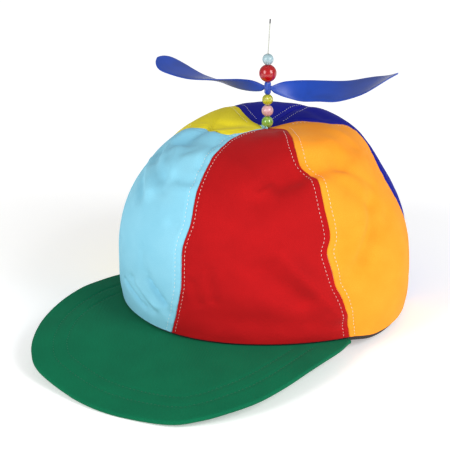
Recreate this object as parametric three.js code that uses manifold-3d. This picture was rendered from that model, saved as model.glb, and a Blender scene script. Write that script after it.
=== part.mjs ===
// A child's play cap with a propeller: six cloth panels, a stiff bill, a sweatband,
// and an upright wire that carries five beads and a spinning propeller.
// Millimetres, +Z up, the bill points along -Y, and the cap rests on the plane z = 0.
import * as THREE from "three";
import Module from "manifold-3d";

const wasm = await Module();
wasm.setup();

// Crown sizes
const RIM_HALF_WIDTH = 89;
const RIM_HALF_LENGTH = 97;
const CROWN_HEIGHT = 112;
const CLOTH = 1.5;
const GAP = 0.3;
const CROWN_LEAN_X = -5;
const CROWN_LEAN_Y = -1.5;
const SEAM_DIP = 0.7;
const SEAM_DIP_WIDTH = 4.5;
const FOLD_WIDTH = 9;
const FOLD_DEPTH = 3;

// How the cap sits: tipped back a little, with the back of the rim just off the plane
const TIP_BACK_DEG = 5.3;
const REAR_RIM_LIFT = 0.5;

// Bill sizes
const BILL_CORNER_DEG = 72;
const BILL_REACH = 77.7;
const BILL_HALF_WIDTH = 88.9;
const BILL_THICK = 3;
const BILL_TWIST = 3.7;
const BILL_ROUND_FROM = 0.985;
const BILL_CORNER_WIDTH = 1.6;
const BILL_ARCH = 1.6;
const BILL_CORNER_OUTSET = 1;
const HEM_TO_BILL = 0.45;

// Sweatband sizes
const BAND_THICK = 1.2;
const BAND_HEIGHT = 26;
const BAND_SHOWS = 2.4;
const BAND_GAP = 0.55;

// Wire, bead and propeller sizes
const WIRE_R = 0.4;
const FOOT_R = 5;
const FOOT_THICK = 1.2;
const FOOT_GAP = 0.7;
const WIRE_ABOVE_BEADS = 22.7;
const WIRE_HOLE_CLEARANCE = 1;
const BEAD_CLEARANCE = 0.35;
const BEAD_GAP = 0.3;
const GREEN_R = 3.7;
const PINK_R = 3.7;
const YELLOW_R = 3.55;
const RED_R = 5.35;
const PALE_R = 3.55;
const HUB_LENGTH = 8;
const HUB_R = 2.15;
const HUB_END_R = 1.5;
const HUB_TAPER = 1.2;
const HUB_CLEARANCE = 0.4;
const HUB_GAP = 0.35;
const PROPELLER_TURN_DEG = 18.3;
const LONG_REACH = 83;
const SHORT_REACH = 73.6;
const BLADE_CHORD = 34.6;
const BLADE_RISE = 17.4;
const BLADE_TIP_LENGTH = 18;
const BLADE_THICK = 1.2;
const BLADE_EDGE_THICK = 0.6;
const BLADE_EDGE_WIDTH = 1;
const BLADE_LIFT = 0.4;

// Facet counts
const PANEL_ACROSS = 10;
const PANEL_UP = 24;
const BILL_ROUND_STEPS = 32;
const BILL_OUT_STEPS = 6;
const BAND_STEPS = 72;
const BEAD_SIDES = 14;
const BEAD_RINGS = 8;
const WIRE_SIDES = 12;
const HUB_SIDES = 16;

// Sizes that follow from the ones above
const RIM_MEAN = (RIM_HALF_WIDTH + RIM_HALF_LENGTH) / 2;
const CLOTH_RUN = (RIM_MEAN + CROWN_HEIGHT) * 0.93;
const WIRE_HOLE_R = WIRE_R + WIRE_HOLE_CLEARANCE;
const BEAD_BORE_R = WIRE_R + BEAD_CLEARANCE;
const HUB_BORE_R = WIRE_R + HUB_CLEARANCE;
const BAND_INSET = CLOTH + BAND_GAP;
const BILL_BELOW_HEM = HEM_TO_BILL + BILL_THICK / 2;
const BILL_TIP_Y = -RIM_HALF_LENGTH - BILL_REACH;

// The crown's section from rim to top: share of the rim's size, share of the height
const PROFILE = [
  { along: 0.0, out: 1.0, up: 0.0 },
  { along: 0.12, out: 1.035, up: 0.14 },
  { along: 0.26, out: 1.045, up: 0.31 },
  { along: 0.4, out: 1.02, up: 0.49 },
  { along: 0.53, out: 0.95, up: 0.66 },
  { along: 0.65, out: 0.83, up: 0.81 },
  { along: 0.76, out: 0.66, up: 0.92 },
  { along: 0.86, out: 0.45, up: 0.985 },
  { along: 0.94, out: 0.24, up: 1.0 },
  { along: 1.0, out: WIRE_HOLE_R / RIM_MEAN, up: 0.983 },
];

// How the crown differs round the rim, degrees counted from the bill towards +X:
// low and shoulder are added shares of its width, rise and hem are shares of its height
const AROUND = [
  { deg: 0, low: 0, shoulder: 0, rise: 0, hem: -0.013 },
  { deg: 45, low: 0, shoulder: 0, rise: 0.013, hem: 0.007 },
  { deg: 72, low: -0.01, shoulder: -0.02, rise: 0.027, hem: 0 },
  { deg: 85, low: 0.008, shoulder: -0.04, rise: 0.034, hem: -0.028 },
  { deg: 98, low: 0.014, shoulder: -0.062, rise: 0.04, hem: -0.026 },
  { deg: 127, low: -0.047, shoulder: -0.093, rise: 0.031, hem: -0.005 },
  { deg: 180, low: -0.01, shoulder: -0.002, rise: 0.059, hem: 0 },
  { deg: 240, low: -0.011, shoulder: -0.032, rise: 0.047, hem: 0 },
  { deg: 305, low: -0.013, shoulder: -0.042, rise: -0.032, hem: 0 },
  { deg: 335, low: -0.011, shoulder: -0.021, rise: 0.005, hem: -0.009 },
];

// Where each seam runs between the rim and the top, in degrees round the rim
const SEAM_BLUE_RED = [
  { along: 0, deg: -1.5 },
  { along: 0.1, deg: 1.3 },
  { along: 0.23, deg: 4 },
  { along: 0.32, deg: 4 },
  { along: 0.41, deg: 3.6 },
  { along: 0.51, deg: 5.3 },
  { along: 0.6, deg: 4.2 },
  { along: 0.7, deg: 2.8 },
  { along: 0.8, deg: 1 },
  { along: 0.87, deg: -1.3 },
  { along: 0.93, deg: -2 },
  { along: 1, deg: 3 },
];
const SEAM_RED_ORANGE = [
  { along: 0, deg: 72 },
  { along: 0.1, deg: 69.3 },
  { along: 0.2, deg: 66.8 },
  { along: 0.29, deg: 63.5 },
  { along: 0.36, deg: 61.5 },
  { along: 0.42, deg: 60 },
  { along: 0.48, deg: 62 },
  { along: 0.58, deg: 62 },
  { along: 0.66, deg: 62 },
  { along: 0.7, deg: 61.3 },
  { along: 0.74, deg: 57.5 },
  { along: 0.8, deg: 57 },
  { along: 0.87, deg: 61 },
  { along: 0.92, deg: 71 },
  { along: 0.965, deg: 104 },
  { along: 1, deg: 112 },
];
const SEAM_ORANGE_NAVY = [
  { along: 0, deg: 128 },
  { along: 0.3, deg: 126 },
  { along: 0.45, deg: 121.5 },
  { along: 0.54, deg: 121.5 },
  { along: 0.62, deg: 128 },
  { along: 0.72, deg: 144 },
  { along: 0.8, deg: 143 },
  { along: 0.86, deg: 136 },
  { along: 0.9, deg: 140 },
  { along: 0.94, deg: 153 },
  { along: 1, deg: 158 },
];
const SEAM_NAVY_NAVY = [
  { along: 0, deg: 180 },
  { along: 0.5, deg: 183 },
  { along: 0.88, deg: 188 },
  { along: 1, deg: 188 },
];
const SEAM_NAVY_YELLOW = [
  { along: 0, deg: 232 },
  { along: 0.4, deg: 237 },
  { along: 0.7, deg: 241.5 },
  { along: 0.85, deg: 244.5 },
  { along: 0.9, deg: 248 },
  { along: 0.945, deg: 255 },
  { along: 0.97, deg: 264 },
  { along: 1, deg: 270 },
];
const SEAM_YELLOW_BLUE = [
  { along: 0, deg: 288 },
  { along: 0.3, deg: 288 },
  { along: 0.6, deg: 284 },
  { along: 0.77, deg: 286 },
  { along: 0.82, deg: 295 },
  { along: 0.86, deg: 307 },
  { along: 0.88, deg: 330 },
  { along: 0.9, deg: 344 },
  { along: 0.93, deg: 350 },
  { along: 0.965, deg: 349 },
  { along: 1, deg: 338 },
];

// Dents and folds in the cloth: a line from one place to another, with shares of the
// fold width and fold depth; a plus depth stands out and a minus depth goes in
const FOLDS = [
  { deg: 33, along: 0.63, toDeg: 53, toAlong: 0.7, width: 1, depth: -1.07 },
  { deg: 22, along: 0.13, toDeg: 52, toAlong: 0.11, width: 1.67, depth: -0.8 },
  { deg: 45, along: 0.34, toDeg: 62, toAlong: 0.13, width: 1, depth: 0.53 },
  { deg: 9, along: 0.27, toDeg: 11.5, toAlong: 0.19, width: 0.44, depth: -0.3 },
  { deg: 15.5, along: 0.34, toDeg: 17.5, toAlong: 0.21, width: 0.44, depth: -0.3 },
  { deg: -36, along: 0.64, toDeg: -24, toAlong: 0.56, width: 0.56, depth: 0.53 },
  { deg: -33, along: 0.755, toDeg: -17, toAlong: 0.665, width: 0.56, depth: 0.53 },
  { deg: -29, along: 0.7, toDeg: -15, toAlong: 0.6, width: 0.56, depth: -0.53 },
  { deg: -40, along: 0.57, toDeg: -30, toAlong: 0.52, width: 0.56, depth: -0.47 },
  { deg: -48, along: 0.83, toDeg: -20, toAlong: 0.765, width: 0.78, depth: -0.6 },
  { deg: -25, along: 0.18, toDeg: -11, toAlong: 0.085, width: 0.44, depth: -0.5 },
  { deg: -13, along: 0.24, toDeg: -2, toAlong: 0.105, width: 0.44, depth: -0.43 },
  { deg: -60, along: 0.8, toDeg: -58, toAlong: 0.82, width: 1, depth: 0.67 },
  { deg: -54, along: 0.88, toDeg: -54, toAlong: 0.93, width: 1.11, depth: -1.33 },
  { deg: 66, along: 0.73, toDeg: 79, toAlong: 0.65, width: 1, depth: -0.87 },
  { deg: 95, along: 0.49, toDeg: 71, toAlong: 0.41, width: 0.67, depth: -0.37 },
  { deg: 89, along: 0.57, toDeg: 70, toAlong: 0.5, width: 0.67, depth: -0.37 },
  { deg: 112, along: 0.84, toDeg: 122, toAlong: 0.9, width: 1.22, depth: 0.6 },
  { deg: 148, along: 0.3, toDeg: 165, toAlong: 0.62, width: 1, depth: -0.67 },
  { deg: 172, along: 0.18, toDeg: 160, toAlong: 0.1, width: 0.78, depth: -0.47 },
  { deg: 200, along: 0.6, toDeg: 222, toAlong: 0.4, width: 1.11, depth: -0.73 },
  { deg: 214, along: 0.22, toDeg: 200, toAlong: 0.14, width: 0.67, depth: -0.47 },
  { deg: 258, along: 0.62, toDeg: 276, toAlong: 0.45, width: 1, depth: -0.73 },
  { deg: 250, along: 0.25, toDeg: 262, toAlong: 0.12, width: 0.67, depth: -0.47 },
];

// The bill's outline from corner to tip: share of the reach, of the half width and
// of the drop that brings the tip down to the resting plane
const OUTLINE = [
  { reach: 0, half: 0.97, drop: 0.08 },
  { reach: 0.1, half: 0.995, drop: 0.07 },
  { reach: 0.22, half: 1, drop: 0.07 },
  { reach: 0.35, half: 1, drop: 0.098 },
  { reach: 0.5, half: 0.981, drop: 0.226 },
  { reach: 0.65, half: 0.925, drop: 0.398 },
  { reach: 0.78, half: 0.826, drop: 0.546 },
  { reach: 0.87, half: 0.715, drop: 0.689 },
  { reach: 0.94, half: 0.551, drop: 0.843 },
  { reach: 0.985, half: 0.246, drop: 0.97 },
  { reach: 1, half: 0, drop: 1 },
];

// A blade from root to tip: share of the long reach, of the chord, slope of the
// chord in degrees, and share of the rise
const BLADE = [
  { out: 0, chord: 0.195, slope: 92, rise: 0 },
  { out: 0.05, chord: 0.206, slope: 79, rise: -0.037 },
  { out: 0.11, chord: 0.267, slope: 67, rise: -0.009 },
  { out: 0.19, chord: 0.352, slope: 53, rise: -0.003 },
  { out: 0.29, chord: 0.478, slope: 36, rise: 0.005 },
  { out: 0.42, chord: 0.615, slope: 20, rise: 0.06 },
  { out: 0.58, chord: 0.796, slope: 10.5, rise: 0.136 },
  { out: 0.74, chord: 0.92, slope: 4, rise: 0.375 },
  { out: 0.86, chord: 1, slope: -3.5, rise: 0.612 },
  { out: 1, chord: 0.776, slope: -11, rise: 1 },
];

const radians = (deg) => (deg * Math.PI) / 180;

const clamp01 = (x) => Math.min(1, Math.max(0, x));

// Eases from 0 to 1 with a flat start and end
function ease(x) {
  const t = clamp01(x);
  return t * t * (3 - 2 * t);
}

// A smooth curve through one column of a table, read at a value of its key column
function readCurve(rows, key, column, at) {
  const last = rows.length - 1;
  const slope = (i) => {
    const a = rows[Math.max(0, i - 1)];
    const b = rows[Math.min(last, i + 1)];
    return (b[column] - a[column]) / (b[key] - a[key]);
  };
  let i = 0;
  while (i < last - 1 && at >= rows[i + 1][key]) i += 1;
  const low = rows[i];
  const high = rows[i + 1];
  const span = high[key] - low[key];
  const s = clamp01((at - low[key]) / span);
  const startPart = (2 * s ** 3 - 3 * s ** 2 + 1) * low[column];
  const startSlope = (s ** 3 - 2 * s ** 2 + s) * span * slope(i);
  const endPart = (3 * s ** 2 - 2 * s ** 3) * high[column];
  const endSlope = (s ** 3 - s ** 2) * span * slope(i + 1);
  return startPart + startSlope + endPart + endSlope;
}

// The same round a full circle, so that the last row joins the first
function readAround(rows, column, deg) {
  const wrapped = [
    ...rows.slice(-2).map((row) => ({ ...row, deg: row.deg - 360 })),
    ...rows,
    ...rows.slice(0, 2).map((row) => ({ ...row, deg: row.deg + 360 })),
  ];
  return readCurve(wrapped, "deg", column, ((deg % 360) + 360) % 360);
}

// How far a bump centred at one height reaches at another
const bump = (along, centre, reach) => Math.exp(-(((along - centre) / reach) ** 2));

// How far the folds move the cloth at one place
function foldDepth(deg, along, out) {
  const perDeg = radians(1) * RIM_MEAN * (0.25 + 0.75 * clamp01(out));
  let total = 0;
  for (const fold of FOLDS) {
    const turn = ((((deg - fold.deg + 180) % 360) + 360) % 360) - 180;
    const ax = turn * perDeg;
    const ay = (along - fold.along) * CLOTH_RUN;
    const bx = (fold.toDeg - fold.deg) * perDeg;
    const by = (fold.toAlong - fold.along) * CLOTH_RUN;
    const share = clamp01((ax * bx + ay * by) / (bx * bx + by * by + 1e-6));
    const away = (ax - share * bx) ** 2 + (ay - share * by) ** 2;
    total += FOLD_DEPTH * fold.depth * Math.exp(-away / (FOLD_WIDTH * fold.width) ** 2);
  }
  return total * ease(along / 0.12) * (1 - ease((along - 0.93) / 0.06));
}

// How far the lower edge of the crown stands above the flat of the rim
const hemHeight = (deg) => CROWN_HEIGHT * readAround(AROUND, "hem", deg);

// A place on the crown's outside, measured from the middle of the untipped rim
function crownPlace(deg, along) {
  const turn = radians(deg);
  const up = readCurve(PROFILE, "along", "up", along);
  const low = bump(along, 0.3, 0.22) * ease(along / 0.12);
  const shoulder = bump(along, 0.62, 0.17);
  const out =
    readCurve(PROFILE, "along", "out", along) +
    readAround(AROUND, "low", deg) * low +
    readAround(AROUND, "shoulder", deg) * shoulder;
  const riseShare = clamp01(along / 0.7) ** 2 * (1 - ease((along - 0.78) / 0.22));
  const hemShare = 1 - ease(along / 0.25);
  const place = new THREE.Vector3(
    CROWN_LEAN_X * ease(along) + RIM_HALF_WIDTH * out * Math.sin(turn),
    CROWN_LEAN_Y * ease(along) - RIM_HALF_LENGTH * out * Math.cos(turn),
    CROWN_HEIGHT * (up + readAround(AROUND, "rise", deg) * riseShare) + hemHeight(deg) * hemShare
  );
  const facing = new THREE.Vector3(
    Math.sin(turn) * (1 - up ** 3),
    -Math.cos(turn) * (1 - up ** 3),
    up ** 2
  ).normalize();
  return place.addScaledVector(facing, foldDepth(deg, along, out));
}

// The direction square to the crown's cloth, pointing out
function crownFacing(deg, along) {
  const step = 0.004;
  const low = Math.max(0, along - step);
  const high = Math.min(1, along + step);
  const round = crownPlace(deg + 0.6, along).sub(crownPlace(deg - 0.6, along));
  const upward = crownPlace(deg, high).sub(crownPlace(deg, low));
  return round.cross(upward).normalize();
}

// Tips the cap back about the rear of the rim and lifts it onto its sweatband
function settle(place) {
  const tip = radians(TIP_BACK_DEG);
  const y = place.y - RIM_HALF_LENGTH;
  return new THREE.Vector3(
    place.x,
    RIM_HALF_LENGTH + y * Math.cos(tip) + place.z * Math.sin(tip),
    REAR_RIM_LIFT - y * Math.sin(tip) + place.z * Math.cos(tip)
  );
}

// A closed skin over rings of points that all have the same count: each ring closes
// on itself, and the first and last rings are filled in with flat fans
function skinOverRings(rings) {
  const points = [];
  for (const ring of rings) points.push(...ring);
  const count = rings[0].length;
  const faces = [];
  for (let i = 0; i + 1 < rings.length; i += 1) {
    for (let j = 0; j < count; j += 1) {
      const a = i * count + j;
      const b = i * count + ((j + 1) % count);
      faces.push(a, b, b + count, a, b + count, a + count);
    }
  }
  const end = (rings.length - 1) * count;
  for (let j = 1; j + 1 < count; j += 1) {
    faces.push(0, j + 1, j, end, end + j, end + j + 1);
  }
  return bodyFrom(points, faces);
}

// A shell from two grids of places, one on each side of the cloth, closed at its edges
function shellFromGrids(outer, inner) {
  const rows = outer.length;
  const columns = outer[0].length;
  const points = [...outer.flat(), ...inner.flat()];
  const half = rows * columns;
  const faces = [];
  for (let i = 0; i + 1 < rows; i += 1) {
    for (let j = 0; j + 1 < columns; j += 1) {
      const a = i * columns + j;
      const b = a + 1;
      const c = a + columns + 1;
      const d = a + columns;
      faces.push(a, b, c, a, c, d);
      faces.push(half + a, half + c, half + b, half + a, half + d, half + c);
    }
  }
  const rim = [];
  for (let j = 0; j + 1 < columns; j += 1) rim.push(j);
  for (let i = 0; i + 1 < rows; i += 1) rim.push(i * columns + columns - 1);
  for (let j = columns - 1; j > 0; j -= 1) rim.push((rows - 1) * columns + j);
  for (let i = rows - 1; i > 0; i -= 1) rim.push(i * columns);
  rim.forEach((a, k) => {
    const b = rim[(k + 1) % rim.length];
    faces.push(a, half + a, half + b, a, half + b, b);
  });
  return bodyFrom(points, faces);
}

function bodyFrom(points, faces) {
  const geometry = new THREE.BufferGeometry();
  const values = points.flatMap((p) => [p.x, p.y, p.z]);
  geometry.setAttribute("position", new THREE.Float32BufferAttribute(values, 3));
  geometry.setIndex(faces);
  geometry.computeVertexNormals();
  return geometry;
}

function piece(name, geometry, colour, roughness, metalness = 0) {
  const material = new THREE.MeshStandardMaterial({ color: colour, roughness, metalness });
  const mesh = new THREE.Mesh(geometry, material);
  mesh.name = name;
  return mesh;
}

// One crown panel between two seams, with half the gap left at each seam
function crownPanel(name, startSeam, endSeam, turnEnd, colour) {
  const outer = [];
  const inner = [];
  for (let i = 0; i <= PANEL_UP; i += 1) {
    const along = i / PANEL_UP;
    const start = readCurve(startSeam, "along", "deg", along);
    const end = readCurve(endSeam, "along", "deg", along) + turnEnd;
    const out = readCurve(PROFILE, "along", "out", along);
    const radius = Math.max(WIRE_HOLE_R, RIM_MEAN * out);
    const trim = GAP / 2 / radius / radians(1);
    const outerRow = [];
    const innerRow = [];
    for (let j = 0; j <= PANEL_ACROSS; j += 1) {
      const share = j / PANEL_ACROSS;
      const across = share - 0.35 * Math.sin(2 * Math.PI * share) / (2 * Math.PI);
      const deg = start + trim + (end - start - 2 * trim) * across;
      const width = radians(end - start) * radius;
      const fromSeam = Math.min(across, 1 - across) * width;
      const dip = SEAM_DIP * Math.exp(-((fromSeam / SEAM_DIP_WIDTH) ** 2)) * ease(along / 0.1);
      const place = crownPlace(deg, along);
      const facing = crownFacing(deg, along);
      place.addScaledVector(facing, -dip * (1 - ease((along - 0.9) / 0.1)));
      outerRow.push(settle(place));
      innerRow.push(settle(place.clone().addScaledVector(facing, -CLOTH)));
    }
    outer.push(outerRow);
    inner.push(innerRow);
  }
  return piece(name, shellFromGrids(outer, inner), colour, 0.85);
}

// The lower edge of the crown at one direction, moved inwards by a distance
function hemPlace(deg, inwards, down) {
  const turn = radians(deg);
  return new THREE.Vector3(
    (RIM_HALF_WIDTH - inwards) * Math.sin(turn),
    -(RIM_HALF_LENGTH - inwards) * Math.cos(turn),
    hemHeight(deg) - down
  );
}

// How far the tip of the bill comes down from the flat of the rim to touch the plane
function tipDrop() {
  const tip = radians(TIP_BACK_DEG);
  const raised = REAR_RIM_LIFT + (RIM_HALF_LENGTH - BILL_TIP_Y) * Math.sin(tip);
  return (raised - BILL_THICK / 2) / Math.cos(tip);
}

// The bill's outer edge, from -1 at one corner through 0 at the tip to 1 at the other
function outlinePlace(side) {
  const reach = Math.sin((1 - Math.abs(side)) * Math.PI * 0.5);
  const corner = hemPlace(BILL_CORNER_DEG, -BILL_CORNER_OUTSET, BILL_BELOW_HEM);
  const cornerShare = 1 - ease(reach / 0.35);
  const roundShare = Math.sqrt(clamp01((1 - reach) / (1 - BILL_ROUND_FROM)));
  const straight = readCurve(OUTLINE, "reach", "half", Math.min(reach, BILL_ROUND_FROM));
  const cornerHalf = corner.x - BILL_HALF_WIDTH * OUTLINE[0].half;
  const half = BILL_HALF_WIDTH * straight * roundShare + cornerHalf * cornerShare;
  const cornerDrop = corner.z + tipDrop() * OUTLINE[0].drop;
  const height = -tipDrop() * readCurve(OUTLINE, "reach", "drop", reach) + cornerDrop * cornerShare;
  const x = half * Math.sign(side);
  const twist = ((BILL_TWIST * x) / BILL_HALF_WIDTH) * Math.sqrt(clamp01(reach));
  const y = corner.y + (BILL_TIP_Y - corner.y) * reach;
  return new THREE.Vector3(x, y, height - twist);
}

// The middle of the bill's thickness: out is 0 at the crown and 1 at the outer edge
function billPlace(side, out) {
  const root = hemPlace(side * BILL_CORNER_DEG, CLOTH, BILL_BELOW_HEM);
  const edge = outlinePlace(side);
  const outward = edge.clone().sub(root);
  const width = Math.max(BILL_CORNER_WIDTH, outward.length() - BILL_THICK / 2);
  if (outward.length() < BILL_CORNER_WIDTH) {
    outward.set(Math.sin(radians(side * BILL_CORNER_DEG)), -0.4, 0);
  }
  outward.setLength(width);
  const arch = BILL_ARCH * Math.sin(Math.PI * out) * ease(outward.length() / BILL_REACH);
  return root.addScaledVector(outward, out).add(new THREE.Vector3(0, 0, arch));
}

function billFacing(side, out) {
  const round = billPlace(Math.min(1, side + 0.01), out).sub(
    billPlace(Math.max(-1, side - 0.01), out)
  );
  const outward = billPlace(side, Math.min(1, out + 0.02)).sub(
    billPlace(side, Math.max(0, out - 0.02))
  );
  return outward.cross(round).normalize();
}

// The bill: closed loops over its top, round its outer edge and back underneath
function bill() {
  const rings = [];
  for (let i = 0; i <= BILL_ROUND_STEPS; i += 1) {
    const side = -1 + (2 * i) / BILL_ROUND_STEPS;
    const facing = billFacing(side, 0.5);
    const ring = [];
    for (let j = 0; j <= BILL_OUT_STEPS; j += 1) {
      const out = j / BILL_OUT_STEPS;
      ring.push(billPlace(side, out).addScaledVector(billFacing(side, out), BILL_THICK / 2));
    }
    const outward = billPlace(side, 1).sub(billPlace(side, 0.9)).normalize();
    for (const turn of [45, 0, -45]) {
      const edge = billPlace(side, 1);
      edge.addScaledVector(outward, (Math.cos(radians(turn)) * BILL_THICK) / 2);
      edge.addScaledVector(facing, (Math.sin(radians(turn)) * BILL_THICK) / 2);
      ring.push(edge);
    }
    for (let j = BILL_OUT_STEPS; j >= 0; j -= 1) {
      const out = j / BILL_OUT_STEPS;
      ring.push(billPlace(side, out).addScaledVector(billFacing(side, out), -BILL_THICK / 2));
    }
    rings.push(ring.map(settle).map(keepAboveTable));
  }
  return piece("brim", skinOverRings(rings), 0x14785a, 0.8);
}

// Cloth that would reach below the resting plane lies flat on it
function keepAboveTable(place) {
  place.z = Math.max(0, place.z);
  return place;
}

// The black band inside the rim; its lower edge shows a little below the cloth
function sweatband() {
  const rings = [];
  for (let i = 0; i < BAND_STEPS; i += 1) {
    const deg = (360 * i) / BAND_STEPS;
    const place = (inwards, up) => keepAboveTable(settle(hemPlace(deg, inwards, -up)));
    rings.push([
      place(BAND_INSET, -BAND_SHOWS),
      place(BAND_INSET + BAND_THICK, -BAND_SHOWS),
      place(BAND_INSET + BAND_THICK, BAND_HEIGHT),
      place(BAND_INSET, BAND_HEIGHT),
    ]);
  }
  const points = rings.flat();
  const faces = [];
  for (let i = 0; i < BAND_STEPS; i += 1) {
    for (let j = 0; j < 4; j += 1) {
      const a = i * 4 + j;
      const b = i * 4 + ((j + 1) % 4);
      const c = ((i + 1) % BAND_STEPS) * 4 + ((j + 1) % 4);
      const d = ((i + 1) % BAND_STEPS) * 4 + j;
      faces.push(a, b, c, a, c, d);
    }
  }
  return piece("sweatband", bodyFrom(points, faces), 0x141414, 0.9);
}

// The place where the wire comes through the crown
const crownTop = settle(new THREE.Vector3(CROWN_LEAN_X, CROWN_LEAN_Y, CROWN_HEIGHT * 0.983));

// Half the height of a bead between its flat bored ends
const beadHalf = (radius) => Math.sqrt(radius ** 2 - BEAD_BORE_R ** 2);

// The heights along the wire, each piece standing a small gap above the one below
const greenZ = crownTop.z + BEAD_GAP + beadHalf(GREEN_R);
const pinkZ = greenZ + beadHalf(GREEN_R) + BEAD_GAP + beadHalf(PINK_R);
const yellowZ = pinkZ + beadHalf(PINK_R) + BEAD_GAP + beadHalf(YELLOW_R);
const hubBottomZ = yellowZ + beadHalf(YELLOW_R) + HUB_GAP;
const redZ = hubBottomZ + HUB_LENGTH + HUB_GAP + beadHalf(RED_R);
const paleZ = redZ + beadHalf(RED_R) + BEAD_GAP + beadHalf(PALE_R);

// A body turned round the wire from a closed outline of [radius, height] pairs
function turned(outline, sides) {
  const points = outline.map(([radius, z]) => new THREE.Vector2(radius, z));
  const geometry = new THREE.LatheGeometry(points, sides);
  geometry.rotateX(Math.PI / 2);
  geometry.translate(crownTop.x, crownTop.y, 0);
  return geometry;
}

function bead(name, radius, z, colour, roughness) {
  const start = Math.asin(BEAD_BORE_R / radius);
  const outline = [];
  for (let i = 0; i <= BEAD_RINGS; i += 1) {
    const turn = start + ((Math.PI - 2 * start) * i) / BEAD_RINGS;
    outline.push([radius * Math.sin(turn), z - radius * Math.cos(turn)]);
  }
  outline.push(outline[0].slice());
  return piece(name, turned(outline, BEAD_SIDES), colour, roughness);
}

// The wire with the plain disc under the crown that keeps it from pulling out
function spindle() {
  const footTop = crownTop.z - CLOTH - FOOT_GAP;
  const wireTop = paleZ + beadHalf(PALE_R) + WIRE_ABOVE_BEADS;
  const outline = [
    [0, footTop - FOOT_THICK],
    [FOOT_R, footTop - FOOT_THICK],
    [FOOT_R, footTop],
    [WIRE_R, footTop],
    [WIRE_R, wireTop - WIRE_R],
    [WIRE_R * 0.6, wireTop],
    [0, wireTop],
  ];
  return piece("spindle", turned(outline, WIRE_SIDES), 0xc8ccd0, 0.35, 1);
}

// The width of a blade, rounded off over the last stretch before its tip
function bladeChord(out, reach) {
  const left = clamp01((reach - out) / BLADE_TIP_LENGTH);
  return BLADE_CHORD * readCurve(BLADE, "out", "chord", out / LONG_REACH) * Math.sqrt(1 - (1 - left) ** 2);
}

// One twisted blade that starts inside the hub's wall and points along +X
function blade(reach) {
  const root = (HUB_BORE_R + HUB_R) / 2;
  const tipStart = reach - BLADE_TIP_LENGTH;
  const shares = [0, 0.04, 0.08, 0.13, 0.19, 0.27, 0.36, 0.47, 0.59, 0.72, 0.86, 1];
  const stations = shares.map((share) => root + (tipStart - root) * share);
  for (const turn of [25, 45, 60, 72, 82]) {
    stations.push(tipStart + BLADE_TIP_LENGTH * Math.sin(radians(turn)));
  }
  const rings = stations.map((out) => {
    const chord = bladeChord(out, reach) / 2;
    const slope = radians(readCurve(BLADE, "out", "slope", out / LONG_REACH));
    const rise = BLADE_RISE * readCurve(BLADE, "out", "rise", out / LONG_REACH) + BLADE_LIFT;
    const thick = BLADE_THICK / 2;
    const edge = BLADE_EDGE_THICK / 2;
    const shoulder = Math.max(chord - BLADE_EDGE_WIDTH, chord * 0.6);
    const section = [
      [chord, edge],
      [shoulder, thick],
      [-shoulder, thick],
      [-chord, edge],
      [-chord, -edge],
      [-shoulder, -thick],
      [shoulder, -thick],
      [chord, -edge],
    ];
    return section.map(([across, above]) => {
      const y = across * Math.cos(slope) - above * Math.sin(slope);
      const z = across * Math.sin(slope) + above * Math.cos(slope);
      return new THREE.Vector3(out, y, z + rise);
    });
  });
  return skinOverRings(rings);
}

// A geometry as a solid that can be joined to another
function solidOf(geometry) {
  const flat = geometry.index ? geometry.toNonIndexed() : geometry;
  const values = flat.getAttribute("position").array;
  const seen = new Map();
  const corners = [];
  const triangles = [];
  for (let i = 0; i < values.length; i += 3) {
    const corner = [values[i], values[i + 1], values[i + 2]];
    const label = corner.map((v) => v.toFixed(3)).join(" ");
    if (!seen.has(label)) {
      seen.set(label, corners.length / 3);
      corners.push(...corner);
    }
    triangles.push(seen.get(label));
  }
  const kept = [];
  for (let i = 0; i < triangles.length; i += 3) {
    const [a, b, c] = triangles.slice(i, i + 3);
    if (a !== b && b !== c && c !== a) kept.push(a, b, c);
  }
  const mesh = new wasm.Mesh({
    numProp: 3,
    vertProperties: new Float32Array(corners),
    triVerts: new Uint32Array(kept),
  });
  return new wasm.Manifold(mesh);
}

function geometryOf(solid) {
  const mesh = solid.getMesh();
  const geometry = new THREE.BufferGeometry();
  geometry.setAttribute("position", new THREE.Float32BufferAttribute(mesh.vertProperties, 3));
  geometry.setIndex(new THREE.Uint32BufferAttribute(mesh.triVerts, 1));
  geometry.computeVertexNormals();
  return geometry;
}

// The propeller: a bored hub and two blades in one body, turned to its resting place
function propeller() {
  const hub = turned(
    [
      [HUB_BORE_R, hubBottomZ],
      [HUB_END_R, hubBottomZ],
      [HUB_R, hubBottomZ + HUB_TAPER],
      [HUB_R, hubBottomZ + HUB_LENGTH - HUB_TAPER],
      [HUB_END_R, hubBottomZ + HUB_LENGTH],
      [HUB_BORE_R, hubBottomZ + HUB_LENGTH],
      [HUB_BORE_R, hubBottomZ],
    ],
    HUB_SIDES
  );
  const place = (geometry, turnDeg) => {
    geometry.rotateZ(radians(turnDeg));
    geometry.translate(crownTop.x, crownTop.y, hubBottomZ + HUB_LENGTH / 2);
    return solidOf(geometry);
  };
  const far = place(blade(LONG_REACH), PROPELLER_TURN_DEG);
  const near = place(blade(SHORT_REACH), PROPELLER_TURN_DEG + 180);
  const joined = wasm.Manifold.union([solidOf(hub), far, near]);
  return piece("propeller", geometryOf(joined), 0x1c48aa, 0.3);
}

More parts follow.
